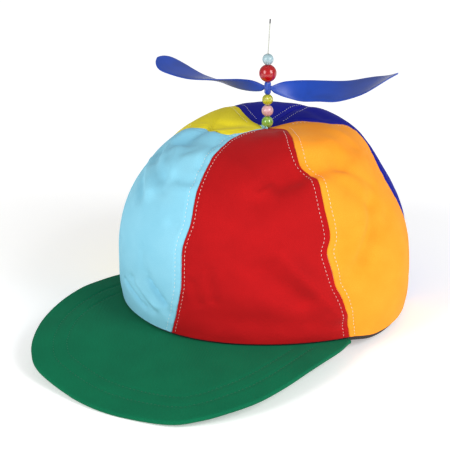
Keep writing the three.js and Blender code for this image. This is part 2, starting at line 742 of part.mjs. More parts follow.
const cap = new THREE.Group();
cap.name = "propeller_cap";
cap.add(crownPanel("crown_panel_red", SEAM_BLUE_RED, SEAM_RED_ORANGE, 0, 0xc81c1e));
cap.add(crownPanel("crown_panel_orange", SEAM_RED_ORANGE, SEAM_ORANGE_NAVY, 0, 0xfdb43c));
cap.add(crownPanel("crown_panel_navy_side", SEAM_ORANGE_NAVY, SEAM_NAVY_NAVY, 0, 0x2c1e72));
cap.add(crownPanel("crown_panel_navy_back", SEAM_NAVY_NAVY, SEAM_NAVY_YELLOW, 0, 0x231e6e));
cap.add(crownPanel("crown_panel_yellow", SEAM_NAVY_YELLOW, SEAM_YELLOW_BLUE, 0, 0xdccb26));
cap.add(crownPanel("crown_panel_light_blue", SEAM_YELLOW_BLUE, SEAM_BLUE_RED, 360, 0x8cd5eb));
cap.add(bill());
cap.add(sweatband());
cap.add(spindle());
cap.add(bead("bead_green", GREEN_R, greenZ, 0x78b937, 0.2));
cap.add(bead("bead_pink", PINK_R, pinkZ, 0xe1a5aa, 0.35));
cap.add(bead("bead_yellow", YELLOW_R, yellowZ, 0xc8c83c, 0.25));
cap.add(propeller());
cap.add(bead("bead_red", RED_R, redZ, 0xbe0a19, 0.1));
cap.add(bead("bead_pale_blue", PALE_R, paleZ, 0xb4d0d6, 0.2));

// The origin is put under the middle of the whole cap
const middle = new THREE.Box3().setFromObject(cap).getCenter(new THREE.Vector3());
for (const mesh of cap.children) mesh.geometry.translate(-middle.x, -middle.y, 0);

export default cap;
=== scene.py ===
# %% [markdown]
# # A propeller beanie, dressed in Blender
# The cap is a play cap: six coloured cotton panels sewn edge to edge, a stiff bill, a dark
# sweatband, and a wire that carries beads and a small propeller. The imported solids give
# every size. This lesson builds the visible pieces over them, in metres and in the same
# place, and gives each one the finish of the real thing.

import math

import bpy
import numpy as np
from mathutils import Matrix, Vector, noise


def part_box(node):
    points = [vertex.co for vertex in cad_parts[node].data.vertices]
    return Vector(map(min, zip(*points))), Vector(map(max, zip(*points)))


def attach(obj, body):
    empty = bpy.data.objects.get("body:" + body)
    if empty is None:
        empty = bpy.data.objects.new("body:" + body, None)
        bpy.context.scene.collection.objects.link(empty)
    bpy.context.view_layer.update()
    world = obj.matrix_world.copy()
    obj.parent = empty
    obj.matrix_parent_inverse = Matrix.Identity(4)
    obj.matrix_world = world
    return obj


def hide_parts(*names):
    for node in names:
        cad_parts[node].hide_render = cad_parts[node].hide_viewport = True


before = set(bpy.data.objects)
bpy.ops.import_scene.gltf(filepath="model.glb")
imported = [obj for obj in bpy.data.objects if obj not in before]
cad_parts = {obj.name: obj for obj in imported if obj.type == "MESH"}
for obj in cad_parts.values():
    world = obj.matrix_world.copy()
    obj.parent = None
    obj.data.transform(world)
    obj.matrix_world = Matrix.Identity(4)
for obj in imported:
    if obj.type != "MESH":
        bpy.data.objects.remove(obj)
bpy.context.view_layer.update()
MM = 0.001
scene = bpy.context.scene

# %% [markdown]
# ## Camera
# The picture was taken from a little above, in front of the left side of the bill, with a
# long lens, so lines that run away from the viewer hardly close up. The lens is given for
# a sensor 36 mm wide and a square picture of 450 by 450 dots.

# %% Camera
CAMERA_PLACE = Vector((0.6291, -0.8734, 0.526))
CAMERA_LOOK = Vector((-0.5411, 0.7447, -0.3907))
CAMERA_LENS = 149.8

bpy.ops.object.camera_add(location=CAMERA_PLACE)
camera = bpy.context.object
camera.name = "photo_camera"
camera.rotation_euler = CAMERA_LOOK.to_track_quat("-Z", "Y").to_euler()
camera.data.lens = CAMERA_LENS
camera.data.sensor_width = 36
camera.data.clip_start = 0.05
camera.data.clip_end = 20
scene.camera = camera
print("camera:", [round(c, 3) for c in camera.location])

# %% [markdown]
# ## Light and floor
# A white studio: two large softboxes stand where the red bead mirrors them, one over the
# bill and one to the cap's left, and the white room itself fills the shadows. With no lamp
# right above, the top of the crown is a little darker than its sides, as in the picture.
# The floor is a plain sheet, which becomes white paper in a later step.

# %% Light and floor
CAP_MIDDLE = Vector((0, 0, 0.07))


def softbox(name, direction, distance, size, watts):
    place = CAP_MIDDLE + Vector(direction).normalized() * distance
    bpy.ops.object.light_add(type="AREA", location=place)
    lamp = bpy.context.object
    lamp.name = name
    lamp.rotation_euler = (CAP_MIDDLE - place).to_track_quat("-Z", "Y").to_euler()
    lamp.data.shape = "RECTANGLE"
    lamp.data.size = size[0]
    lamp.data.size_y = size[1]
    lamp.data.energy = watts
    print("softbox:", name, watts, "W")


softbox("softbox_over_bill", (-0.2, -0.85, 0.46), 1.5, (0.7, 0.9), 12.6)
softbox("softbox_side", (0.87, -0.03, 0.5), 1.5, (0.7, 0.9), 16)

world = bpy.data.worlds.new("white_room")
world.use_nodes = True
room = world.node_tree.nodes["Background"]
room.inputs["Color"].default_value = (1, 1, 1, 1)
room.inputs["Strength"].default_value = 0.34
scene.world = world
scene.view_settings.view_transform = "Standard"

bpy.ops.mesh.primitive_plane_add(size=12, location=(0, 0, -0.0002))
floor = bpy.context.object
floor.name = "floor"

# %% [markdown]
# ## Small helpers
# One function turns a colour from the form used on screens to the linear light that
# Blender counts in. One adds a shader node with its settings and links. One starts a piece
# from Blender's grid, whose points all know their share of the width and of the height:
# a bent sheet of cloth is then a matter of giving each point its place.

# %% Helpers for colours and nodes
TO_MM = (1 / MM, 1 / MM, 1 / MM)


def linear(hex_text):
    shares = [int(hex_text[i : i + 2], 16) / 255 for i in (0, 2, 4)]
    light = [c / 12.92 if c <= 0.04045 else ((c + 0.055) / 1.055) ** 2.4 for c in shares]
    return (*light, 1.0)


def add_node(material, kind, settings=None, links=None, out=0):
    """Adds one shader node and gives back one of its outputs. A setting goes to the socket
    of that name or number, or to the node itself, and a link joins another node's output
    to a socket."""
    node = material.node_tree.nodes.new("ShaderNode" + kind)
    for name, value in (settings or {}).items():
        if isinstance(name, int) or name in node.inputs:
            node.inputs[name].default_value = value
        else:
            setattr(node, name, value)
    for name, source in (links or {}).items():
        material.node_tree.links.new(source, node.inputs[name])
    return node.outputs[out]


def new_material(name, settings):
    material = bpy.data.materials.new(name)
    material.use_nodes = True
    for socket, value in settings.items():
        material.node_tree.nodes["Principled BSDF"].inputs[socket].default_value = value
    print("material:", name)
    return material


def join(material, source, socket):
    shader = material.node_tree.nodes["Principled BSDF"]
    material.node_tree.links.new(source, shader.inputs[socket])


# %% Helpers for meshes
WELD_MM = 0.001


def select_only(piece):
    bpy.ops.object.select_all(action="DESELECT")
    piece.select_set(True)
    bpy.context.view_layer.objects.active = piece


def new_grid(name, columns, rows):
    """A flat grid from Blender's own primitive, with each point's two shares."""
    bpy.ops.object.select_all(action="DESELECT")
    bpy.ops.mesh.primitive_grid_add(x_subdivisions=columns, y_subdivisions=rows, size=1)
    piece = bpy.context.object
    piece.name = name
    piece.data.name = name
    flat = read_points(piece)
    return piece, flat[:, 0] + 0.5, flat[:, 1] + 0.5


def read_points(piece):
    values = np.zeros(len(piece.data.vertices) * 3)
    piece.data.vertices.foreach_get("co", values)
    return values.reshape(-1, 3)


def write_points(piece, points_mm):
    piece.data.vertices.foreach_set("co", (np.asarray(points_mm) * MM).ravel())
    piece.data.update()


def write_cut(piece, across_mm, up_mm):
    """The UV map named cut lays the cloth flat again, in metres."""
    layer = piece.data.uv_layers.active or piece.data.uv_layers.new()
    layer.name = "cut"
    corners = np.zeros(len(piece.data.loops), int)
    piece.data.loops.foreach_get("vertex_index", corners)
    flat = np.stack([np.asarray(across_mm)[corners], np.asarray(up_mm)[corners]], 1)
    layer.data.foreach_set("uv", (flat * MM).ravel())


def apply_modifier(piece, kind, **settings):
    select_only(piece)
    modifier = piece.modifiers.new(kind.lower(), kind)
    for name, value in settings.items():
        setattr(modifier, name, value)
    bpy.ops.object.modifier_apply(modifier=modifier.name)


def smooth(piece, degrees=40):
    select_only(piece)
    bpy.ops.object.shade_smooth_by_angle(angle=math.radians(degrees))


def edit_all(piece, kind="VERT"):
    """Opens a piece for editing, with all of it selected."""
    select_only(piece)
    bpy.ops.object.mode_set(mode="EDIT")
    bpy.ops.mesh.select_mode(type=kind)
    bpy.ops.mesh.select_all(action="SELECT")


def tidy_mesh(piece, near_mm=WELD_MM):
    """Welds doubled points and turns all faces outwards."""
    edit_all(piece)
    bpy.ops.mesh.remove_doubles(threshold=near_mm * MM)
    bpy.ops.mesh.normals_make_consistent(inside=False)
    bpy.ops.object.mode_set(mode="OBJECT")


def close_ends(piece):
    """Welds the seam of a wrapped grid and fills its two open ends."""
    edit_all(piece, "EDGE")
    bpy.ops.mesh.remove_doubles(threshold=WELD_MM * MM)
    bpy.ops.mesh.select_all(action="DESELECT")
    bpy.ops.mesh.select_non_manifold()
    bpy.ops.mesh.edge_face_add()
    bpy.ops.mesh.select_all(action="SELECT")
    bpy.ops.mesh.normals_make_consistent(inside=False)
    bpy.ops.object.mode_set(mode="OBJECT")


def finish_piece(piece, material, body, slot, *nodes):
    piece.data.materials.clear()
    piece.data.materials.append(material)
    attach(piece, body)
    if nodes:
        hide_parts(*nodes)
    print("piece:", piece.name, len(piece.data.polygons), "faces")


# %% [markdown]
# ## The crown's shape
# The solids come from a few named sizes and short tables, and the same ones are used
# here, in millimetres. The seams near the top, one fold and the fine creases are read a
# little closer from the picture. A place on the crown has two numbers: the degrees round
# the rim, counted from the bill, and its share of the way from the rim to the top.

# %% Sizes shared with the solids
RIM_HALF_WIDTH = 89
RIM_HALF_LENGTH = 97
CROWN_HEIGHT = 112
CLOTH = 1.5
CROWN_LEAN_X = -5
CROWN_LEAN_Y = -1.5
SEAM_DIP = 0.7
SEAM_DIP_WIDTH = 4.5
FOLD_WIDTH = 9
FOLD_DEPTH = 3
TIP_BACK = math.radians(5.3)
REAR_RIM_LIFT = 0.5
RIM_MEAN = (RIM_HALF_WIDTH + RIM_HALF_LENGTH) / 2
# From rim to top the cloth runs a curve, which is shorter than out and up together
CURVE_SHARE = 0.93
CLOTH_RUN = (RIM_MEAN + CROWN_HEIGHT) * CURVE_SHARE
WIRE_R = 0.4
WIRE_HOLE_R = WIRE_R + 1
WIRE_HOLE_HEIGHT = 0.983

# share of the way up, share of the rim's size, share of the height
PROFILE = [
    (0.0, 1.0, 0.0),
    (0.12, 1.035, 0.14),
    (0.26, 1.045, 0.31),
    (0.4, 1.02, 0.49),
    (0.53, 0.95, 0.66),
    (0.65, 0.83, 0.81),
    (0.76, 0.66, 0.92),
    (0.86, 0.45, 0.985),
    (0.94, 0.24, 1.0),
    (1.0, WIRE_HOLE_R / RIM_MEAN, WIRE_HOLE_HEIGHT),
]
# degrees, added width low down, added width at the shoulder, rise, hem
AROUND = [
    (0, 0, 0, 0, -0.013),
    (45, 0, 0, 0.013, 0.007),
    (72, -0.01, -0.02, 0.027, 0),
    (85, 0.008, -0.04, 0.034, -0.028),
    (98, 0.014, -0.062, 0.04, -0.026),
    (127, -0.047, -0.093, 0.031, -0.005),
    (180, -0.01, -0.002, 0.059, 0),
    (240, -0.011, -0.032, 0.047, 0),
    (305, -0.013, -0.042, -0.032, 0),
    (335, -0.011, -0.021, 0.005, -0.009),
]
LOW, SHOULDER, RISE, HEM = 1, 2, 3, 4
# Where the added widths are fullest and how far they spread, in shares of the way up
LOW_AT, LOW_SPREAD = 0.3, 0.22
SHOULDER_AT, SHOULDER_SPREAD = 0.62, 0.17
# Nothing is added right at the rim, and the hem's own wave dies out a little higher
RIM_FADE = 0.12
HEM_FADE = 0.25
RISE_FULL = 0.7
RISE_FADE_FROM = 0.78
# Dents and creases narrow towards the top, and die out before the wire
NARROWEST = 0.25
TOP_FADE_FROM = 0.93
TOP_FADE = 0.06

# %% Where the seams run: share of the way up, degrees
SEAMS = {
    "blue_red": [
        (0, -1.5), (0.1, 1.3), (0.23, 4), (0.32, 4), (0.41, 3.6), (0.51, 5.3), (0.6, 4.2),
        (0.7, 2.8), (0.8, 1), (0.87, -1.3), (0.93, -2), (1, 3),
    ],
    "red_orange": [
        (0, 72), (0.1, 69.3), (0.2, 66.8), (0.29, 63.5), (0.36, 61.5), (0.42, 60.3), (0.48, 62.4),
        (0.58, 62), (0.64, 62.3), (0.67, 62.4), (0.69, 62.6), (0.72, 63), (0.75, 62), (0.766, 59.8),
        (0.78, 58.3), (0.8, 57.8), (0.84, 58.4), (0.88, 61.5), (0.92, 67), (0.95, 80),
        (0.975, 104), (1, 112),
    ],
    "orange_navy": [
        (0, 128), (0.3, 126), (0.45, 121.5), (0.54, 121.5), (0.62, 128), (0.72, 144),
        (0.8, 143), (0.86, 136), (0.9, 140), (0.94, 153), (1, 158),
    ],
    "navy_navy": [(0, 180), (0.5, 183), (0.88, 188), (1, 188)],
    "navy_yellow": [
        (0, 232), (0.4, 237), (0.7, 241.5), (0.85, 244.5), (0.9, 248), (0.945, 255),
        (0.97, 264), (1, 270),
    ],
    "yellow_blue": [
        (0, 288), (0.3, 288), (0.6, 284), (0.77, 286), (0.82, 294.5), (0.85, 298.5),
        (0.872, 302.5), (0.88, 314), (0.888, 336), (0.896, 344.5), (0.91, 349.5), (0.93, 353.5),
        (0.955, 357), (1, 345),
    ],
}

# %% Dents and folds: from a place to a place, share of the fold width and of the depth
FOLDS = [
    (33, 0.63, 53, 0.7, 1, -1.07), (22, 0.13, 52, 0.11, 1.67, -0.8),
    (45, 0.34, 62, 0.13, 1, 0.53), (9, 0.27, 11.5, 0.19, 0.44, -0.3),
    (15.5, 0.34, 17.5, 0.21, 0.44, -0.3), (-36, 0.64, -24, 0.56, 0.56, 0.53),
    (-33, 0.755, -17, 0.665, 0.56, 0.53), (-29, 0.7, -15, 0.6, 0.56, -0.53),
    (-40, 0.57, -30, 0.52, 0.56, -0.47), (-48, 0.83, -20, 0.765, 0.78, -0.6),
    (-25, 0.18, -11, 0.085, 0.44, -0.5), (-13, 0.24, -2, 0.105, 0.44, -0.43),
    (-60, 0.8, -58, 0.82, 1, 0.67), (-54, 0.88, -54, 0.93, 1.44, -0.7),
    (66, 0.73, 79, 0.65, 1, -0.87), (95, 0.49, 71, 0.41, 0.67, -0.37),
    (89, 0.57, 70, 0.5, 0.67, -0.37), (112, 0.84, 122, 0.9, 1.22, 0.6),
    (148, 0.3, 165, 0.62, 1, -0.67), (172, 0.18, 160, 0.1, 0.78, -0.47),
    (200, 0.6, 222, 0.4, 1.11, -0.73), (214, 0.22, 200, 0.14, 0.67, -0.47),
    (258, 0.62, 276, 0.45, 1, -0.73), (250, 0.25, 262, 0.12, 0.67, -0.47),
]

# %% Fine creases: from a place to a place, width and depth in millimetres
CREASES = [
    (41.5, 0.712, 58, 0.766, 9, -3.4), (40, 0.654, 58.5, 0.683, 7, 1.4),
    (46, 0.708, 57.5, 0.737, 12, -1), (58.5, 0.937, 53, 0.779, 4.5, 1.3),
    (33, 0.679, 38.5, 0.716, 3, -1.2), (33, 0.658, 39.5, 0.699, 3, 0.6),
    (37.5, 0.908, 62, 0.903, 11, 1.8), (42, 0.433, 67, 0.133, 6, 2.6),
    (35, 0.362, 50.5, 0.229, 9.5, -4.2), (20, 0.445, 23, 0.312, 7, -0.7),
    (68.5, 0.762, 81.5, 0.745, 8.6, -4.4), (65, 0.683, 78.5, 0.674, 7, 1.5),
    (81, 0.729, 104.5, 0.762, 8, -1.8), (69, 0.812, 88, 0.824, 8, 1.2),
    (83, 0.708, 95.5, 0.604, 4, -1), (77, 0.699, 87, 0.595, 5, 0.7),
    (88, 0.537, 77, 0.379, 6, -3), (76, 0.362, 67, 0.283, 7, -2.4), (81.5, 0.541, 73, 0.4, 6, 1),
    (-46, 0.791, -14, 0.841, 8, -3), (-14.5, 0.733, -3, 0.774, 6, 1.4),
    (-54, 0.745, -15.5, 0.645, 4.4, 1.9), (-52.5, 0.699, -22.5, 0.62, 4.4, -1.2),
    (-52, 0.641, -22.5, 0.558, 4.4, 1.8), (-47.5, 0.591, -32, 0.533, 4, -1),
    (-17.5, 0.649, -2, 0.662, 4, -1.4), (-15, 0.604, 0.5, 0.629, 4, 0.9),
    (-2, 0.724, -8, 0.841, 3.4, -1.2), (-32.5, 0.137, -15.5, 0.079, 2.2, -2.4),
    (-13, 0.216, -4, 0.142, 2.2, -2.4), (-21, 0.175, -8.5, 0.112, 3, 1.5),
    (-18, 0.333, -15.5, 0.208, 4, -0.9), (-3, 0.487, -1.5, 0.483, 4.5, -1.2),
    (-76.5, 0.845, -63.5, 0.928, 4, -0.6), (184, 0.874, 148.5, 0.866, 4, -0.8),
    (140, 0.42, 158, 0.33, 5, -1.2), (168, 0.7, 176, 0.5, 5, -1.1), (196, 0.2, 207, 0.33, 4, -1),
    (222, 0.62, 214, 0.45, 5, 1), (262, 0.55, 250, 0.4, 4.5, -1.2), (272, 0.3, 284, 0.16, 4, -1),
    (120, 0.2, 110, 0.09, 3, -0.9),
]

# %% Curves through the tables


def clamp01(x):
    return np.clip(x, 0, 1)


def ease(x):
    t = clamp01(np.asarray(x, float))
    return t * t * (3 - 2 * t)


def read_curve(rows, column, at):
    """A smooth curve through one column of a table, read at values of its first one."""
    table = np.array(rows, float)
    keys, values = table[:, 0], table[:, column]
    last = len(keys) - 1
    after = np.minimum(np.arange(last + 1) + 1, last)
    before = np.maximum(np.arange(last + 1) - 1, 0)
    slopes = (values[after] - values[before]) / (keys[after] - keys[before])
    at = np.asarray(at, float)
    i = np.clip(np.searchsorted(keys, at, side="right") - 1, 0, last - 1)
    span = keys[i + 1] - keys[i]
    s = clamp01((at - keys[i]) / span)
    return (
        (2 * s**3 - 3 * s**2 + 1) * values[i]
        + (s**3 - 2 * s**2 + s) * span * slopes[i]
        + (3 * s**2 - 2 * s**3) * values[i + 1]
        + (s**3 - s**2) * span * slopes[i + 1]
    )


def read_around(column, deg):
    before = [(row[0] - 360, *row[1:]) for row in AROUND[-2:]]
    after = [(row[0] + 360, *row[1:]) for row in AROUND[:2]]
    return read_curve([*before, *AROUND, *after], column, np.mod(deg, 360))


def unit(vectors):
    return vectors / np.maximum(np.linalg.norm(vectors, axis=-1, keepdims=True), 1e-9)


# %% The crown's outside


def folds_at(rows, deg, along, out):
    """How far a table of folds moves the cloth, in millimetres."""
    per_deg = math.radians(1) * RIM_MEAN * (NARROWEST + (1 - NARROWEST) * clamp01(out))
    total = np.zeros(np.shape(deg))
    for fold_deg, fold_along, to_deg, to_along, width, depth in rows:
        turn = np.mod(deg - fold_deg + 180, 360) - 180
        ax, ay = turn * per_deg, (along - fold_along) * CLOTH_RUN
        bx, by = (to_deg - fold_deg) * per_deg, (to_along - fold_along) * CLOTH_RUN
        share = clamp01((ax * bx + ay * by) / (bx * bx + by * by + 1e-6))
        away = (ax - share * bx) ** 2 + (ay - share * by) ** 2
        total += depth * np.exp(-away / width**2)
    return total * ease(along / RIM_FADE) * (1 - ease((along - TOP_FADE_FROM) / TOP_FADE))


FOLDS_MM = [(*row[:4], row[4] * FOLD_WIDTH, row[5] * FOLD_DEPTH) for row in FOLDS]


def hem_height(deg):
    return CROWN_HEIGHT * read_around(HEM, deg)


def crown_place(deg, along):
    """A place on the crown's outside, from the middle of the untipped rim."""
    deg, along = np.broadcast_arrays(np.asarray(deg, float), np.asarray(along, float))
    turn = np.radians(deg)
    up = read_curve(PROFILE, 2, along)
    low = np.exp(-(((along - LOW_AT) / LOW_SPREAD) ** 2)) * ease(along / RIM_FADE)
    shoulder = np.exp(-(((along - SHOULDER_AT) / SHOULDER_SPREAD) ** 2))
    out = read_curve(PROFILE, 1, along)
    out = out + read_around(LOW, deg) * low + read_around(SHOULDER, deg) * shoulder
    fade = 1 - ease((along - RISE_FADE_FROM) / 0.22)
    rise = clamp01(along / RISE_FULL) ** 2 * fade
    height = CROWN_HEIGHT * (up + read_around(RISE, deg) * rise)
    place = np.stack(
        [
            CROWN_LEAN_X * ease(along) + RIM_HALF_WIDTH * out * np.sin(turn),
            CROWN_LEAN_Y * ease(along) - RIM_HALF_LENGTH * out * np.cos(turn),
            height + hem_height(deg) * (1 - ease(along / HEM_FADE)),
        ],
        -1,
    )
    side = 1 - up**3
    facing = unit(np.stack([np.sin(turn) * side, -np.cos(turn) * side, up**2], -1))
    return place + facing * folds_at(FOLDS_MM + CREASES, deg, along, out)[..., None]


def crown_facing(deg, along):
    low, high = np.maximum(0, along - 0.003), np.minimum(1, along + 0.003)
    around = crown_place(deg + 0.4, along) - crown_place(deg - 0.4, along)
    upward = crown_place(deg, high) - crown_place(deg, low)
    return unit(np.cross(around, upward))


def tip_back(place):
    """Tips the cap back about the rear of its rim, as it stands on a table."""
    y = place[..., 1] - RIM_HALF_LENGTH
    z = place[..., 2]
    return np.stack(
        [
            place[..., 0],
            RIM_HALF_LENGTH + y * math.cos(TIP_BACK) + z * math.sin(TIP_BACK),
            REAR_RIM_LIFT - y * math.sin(TIP_BACK) + z * math.cos(TIP_BACK),
        ],
        -1,
    )


wire_hole = np.array([CROWN_LEAN_X, CROWN_LEAN_Y, CROWN_HEIGHT * WIRE_HOLE_HEIGHT])
top_before_shift = tip_back(wire_hole)
wire_low, wire_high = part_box("spindle")
SHIFT = np.array(
    [
        (wire_low.x + wire_high.x) / 2 / MM - top_before_shift[0],
        (wire_low.y + wire_high.y) / 2 / MM - top_before_shift[1],
        0,
    ]
)
CROWN_TOP = top_before_shift + SHIFT


def settle(place):
    return tip_back(place) + SHIFT


def settle_facing(facing):
    """A direction turns with the cap, but isn't moved."""
    return tip_back(facing) - tip_back(np.zeros(3))


print("crown top:", np.round(CROWN_TOP, 2), "mm")

# %% [markdown]
# ## Cloth that knows its seams
# Near a seam real cloth does four things. It rolls over into the seam, it is drawn down a
# little, the thread presses a shallow groove beside it, and the pull of the thread leaves
# small puckers that fade out across the cloth. All four are height changes that depend on
# how far a point is from the seam and how far along it.

# %% The cloth between two seams
SEWN_GAP = 0.1
ROLL = 0.8
GROOVE_DEPTH = 0.22
GROOVE_WIDTH = 0.75
PUCKER = 0.24
PUCKER_WIDTH = 4.2
HEM_ROLL = 1.5
# Height, size and seed of the cloth's unevenness, and the share of it beside a seam
UNEVENNESS = [(0.3, 17, 3.1, 0.3), (0.12, 7, 8.7, 0.4)]
# Millimetres from a seam to the stitches before and after it
STITCH_FROM_SEAM = {
    "blue_red": (4.6, 2.5),
    "red_orange": (4.3, 4.5),
    "orange_navy": (4.2, 4.2),
    "navy_navy": (4.2, 4.2),
    "navy_yellow": (4.4, 4.4),
    "yellow_blue": (4.4, 4.4),
}
# Lengths of the puckers' waves along a seam and their starts
PUCKER_WAVES = [(9.7, 0.3, 0.45), (6.1, 1.9, 0.35), (4.3, 4.1, 0.2)]


def radius_at(along):
    return np.maximum(WIRE_HOLE_R, RIM_MEAN * read_curve(PROFILE, 1, along))


def pucker(run, distance, seed):
    waves = sum(
        share * np.sin(2 * np.pi * run / length + start + 1.7 * seed)
        for length, start, share in PUCKER_WAVES
    )
    swell = 0.65 + 0.35 * np.sin(run / 23 + seed)
    return PUCKER * waves * swell * np.exp(-(((distance - 2.2) / PUCKER_WIDTH) ** 2))


def seam_relief(distance, stitch, run, seed):
    roll = clamp01(1 - distance / ROLL)
    sunk = ROLL * (1 - np.sqrt(1 - roll**2))
    groove = GROOVE_DEPTH * np.exp(-(((distance - stitch) / GROOVE_WIDTH) ** 2))
    return pucker(run, distance, seed) - groove - sunk


def soft_waves(places, size, seed):
    """Gentle unevenness of cloth that nothing holds tight."""
    flat = places.reshape(-1, 3) / size + seed
    values = [noise.noise(Vector(p)) for p in flat]
    return np.array(values).reshape(places.shape[:-1])


def sewn_cloth(deg, along, start_seam, end_seam, turn_end):
    start = read_curve(SEAMS[start_seam], 1, along)
    end = read_curve(SEAMS[end_seam], 1, along) + turn_end
    radius = radius_at(along)
    run = along * CLOTH_RUN
    from_start = np.radians(deg - start) * radius
    from_end = np.radians(end - deg) * radius
    place = crown_place(deg, along)
    facing = crown_facing(deg, along)
    near = np.minimum(from_start, from_end)
    held = ease(along / 0.1) * (1 - ease((along - 0.9) / 0.1))
    height = -SEAM_DIP * np.exp(-((near / SEAM_DIP_WIDTH) ** 2)) * held
    loose = 1 - 0.75 * ease((along - 0.9) / 0.08)
    for seam, distance, after in ((start_seam, from_start, 1), (end_seam, from_end, 0)):
        seed = list(SEAMS).index(seam) + (0 if after else 0.6)
        stitch = STITCH_FROM_SEAM[seam][after]
        height = height + loose * seam_relief(distance, stitch, run, seed)
    hem = clamp01(1 - run / HEM_ROLL)
    height = height - HEM_ROLL * (1 - np.sqrt(1 - hem**2))
    free = ease((near - 3) / 12) * ease(run / 10)
    for high, size, seed, beside in UNEVENNESS:
        height = height + high * soft_waves(place, size, seed) * (beside + (1 - beside) * free)
    return settle(place + facing * height[..., None]), facing


# %% [markdown]
# ## Cotton twill
# The panels are dyed cotton twill: yarn woven so that fine diagonal ribs cross the cloth.
# It has no gloss, but loose fibre ends catch light at the edges of folds, which the
# shader calls sheen. Real ribs lie about half a millimetre apart, too fine for a picture
# of this size, so they are drawn nearly twice as far apart.

# %% Cotton twill
TWILL_PITCH = 0.9
YARN = 0.7
DYE_CLOUD = 22
# Blender's diagonal waves repeat after this length at a scale of 1
WAVE_LENGTH = 0.444


def cotton_twill(name, cloth_hex, shade_hex):
    material = new_material(
        name,
        {
            "Roughness": 0.85, "Sheen Weight": 0.04, "Sheen Roughness": 0.4,
            "Specular IOR Level": 0.08,
        },
    )
    cut = add_node(material, "UVMap", {"uv_map": "cut"})
    flat = add_node(material, "Mapping", {"Scale": TO_MM}, {"Vector": cut})
    wave = {
        "bands_direction": "DIAGONAL", "Scale": WAVE_LENGTH / TWILL_PITCH, "Distortion": 0.6,
        "Detail": 1.5, "Detail Scale": 1.4,
    }
    ribs = add_node(material, "TexWave", wave, {"Vector": flat}, out=1)
    grain = {"Scale": 1 / YARN, "Detail": 2, "Roughness": 0.6}
    yarn = add_node(material, "TexNoise", grain, {"Vector": flat})
    clouds = {"Scale": 1 / DYE_CLOUD, "Detail": 3}
    cloudy = add_node(material, "TexNoise", clouds, {"Vector": flat})
    cloth, shade = linear(cloth_hex), linear(shade_hex)
    uneven = {"From Min": 0.35, "From Max": 0.7, "To Max": 0.5}
    dye = add_node(material, "MapRange", uneven, {"Value": cloudy})
    dyed = add_node(material, "Mix", {"data_type": "RGBA", 6: cloth, 7: shade}, {0: dye}, out=2)
    gaps = {"From Min": 0.3, "From Max": 0.7, "To Max": 0.6}
    speckle = add_node(material, "MapRange", gaps, {"Value": yarn})
    mixed = {0: speckle, 6: dyed}
    threads = add_node(material, "Mix", {"data_type": "RGBA", 7: shade}, mixed, out=2)
    fuzz = {"Strength": 0.35, "Distance": 0.12 * MM}
    fine = add_node(material, "Bump", fuzz, {"Height": yarn})
    raised = {"Strength": 0.5, "Distance": 0.1 * MM}
    woven = add_node(material, "Bump", raised, {"Height": ribs, "Normal": fine})
    join(material, threads, "Base Color")
    join(material, woven, "Normal")
    return material


TWILL = {
    "red": cotton_twill("cotton_twill_red", "BA1518", "A01014"),
    "orange": cotton_twill("cotton_twill_orange", "FDA733", "FC921E"),
    "navy": cotton_twill("cotton_twill_navy", "11179A", "0C1080"),
    "yellow": cotton_twill("cotton_twill_yellow", "F2E030", "DECB22"),
    "light_blue": cotton_twill("cotton_twill_light_blue", "92D2E7", "7EC4DD"),
    "green": cotton_twill("cotton_twill_green", "0C6E4A", "0A5E40"),
}

# %% [markdown]
# ## The six panels
# Each panel starts as a flat grid. Its points crowd together towards the two seams, where
# the roll and the stitch groove need them, and then each takes its place between the
# seams. Solidify gives the sheet the thickness of the cloth, inwards.

# %% The six panels
ACROSS = 112
UP = 136
CROWDING = 1.5
# panel, the seams at its start and end, the turn added to the second one, cloth
PANELS = [
    ("red", "blue_red", "red_orange", 0, "red"),
    ("orange", "red_orange", "orange_navy", 0, "orange"),
    ("navy_side", "orange_navy", "navy_navy", 0, "navy"),
    ("navy_back", "navy_navy", "navy_yellow", 0, "navy"),
    ("yellow", "navy_yellow", "yellow_blue", 0, "yellow"),
    ("light_blue", "yellow_blue", "blue_red", 360, "light_blue"),
]


def crowded(share):
    return 0.5 + 0.5 * np.tanh(CROWDING * (2 * share - 1)) / math.tanh(CROWDING)


def sew_panel(name, start_seam, end_seam, turn_end, cloth):
    piece, x, y = new_grid("panel_" + name, ACROSS, UP)
    start = read_curve(SEAMS[start_seam], 1, y)
    end = read_curve(SEAMS[end_seam], 1, y) + turn_end
    radius = radius_at(y)
    trim = np.degrees(SEWN_GAP / 2 / radius)
    deg = start + trim + (end - start - 2 * trim) * crowded(x)
    places, _ = sewn_cloth(deg, y, start_seam, end_seam, turn_end)
    write_points(piece, places)
    middle = (start + end) / 2
    write_cut(piece, np.radians(deg - middle) * radius, y * CLOTH_RUN)
    apply_modifier(piece, "SOLIDIFY", thickness=CLOTH * MM, offset=-1)
    smooth(piece)
    finish_piece(piece, TWILL[cloth], "cap", "cloth_" + cloth, "crown_panel_" + name)


for panel in PANELS:
    sew_panel(*panel)

# %% [markdown]
# ## Topstitching
# A sewing machine lays one stitch after another, each dipping into the cloth at both
# ends. One stitch is modelled from a small ball drawn out long, with its ends bent down,
# and its mesh is then copied along the sides of the seams.

# %% One stitch
STITCH_LENGTH = 1.95
STITCH_PITCH = 2.6
STITCH_WIDTH = 0.27
STITCH_HEIGHT = 0.3
STITCH_DIP = 0.3

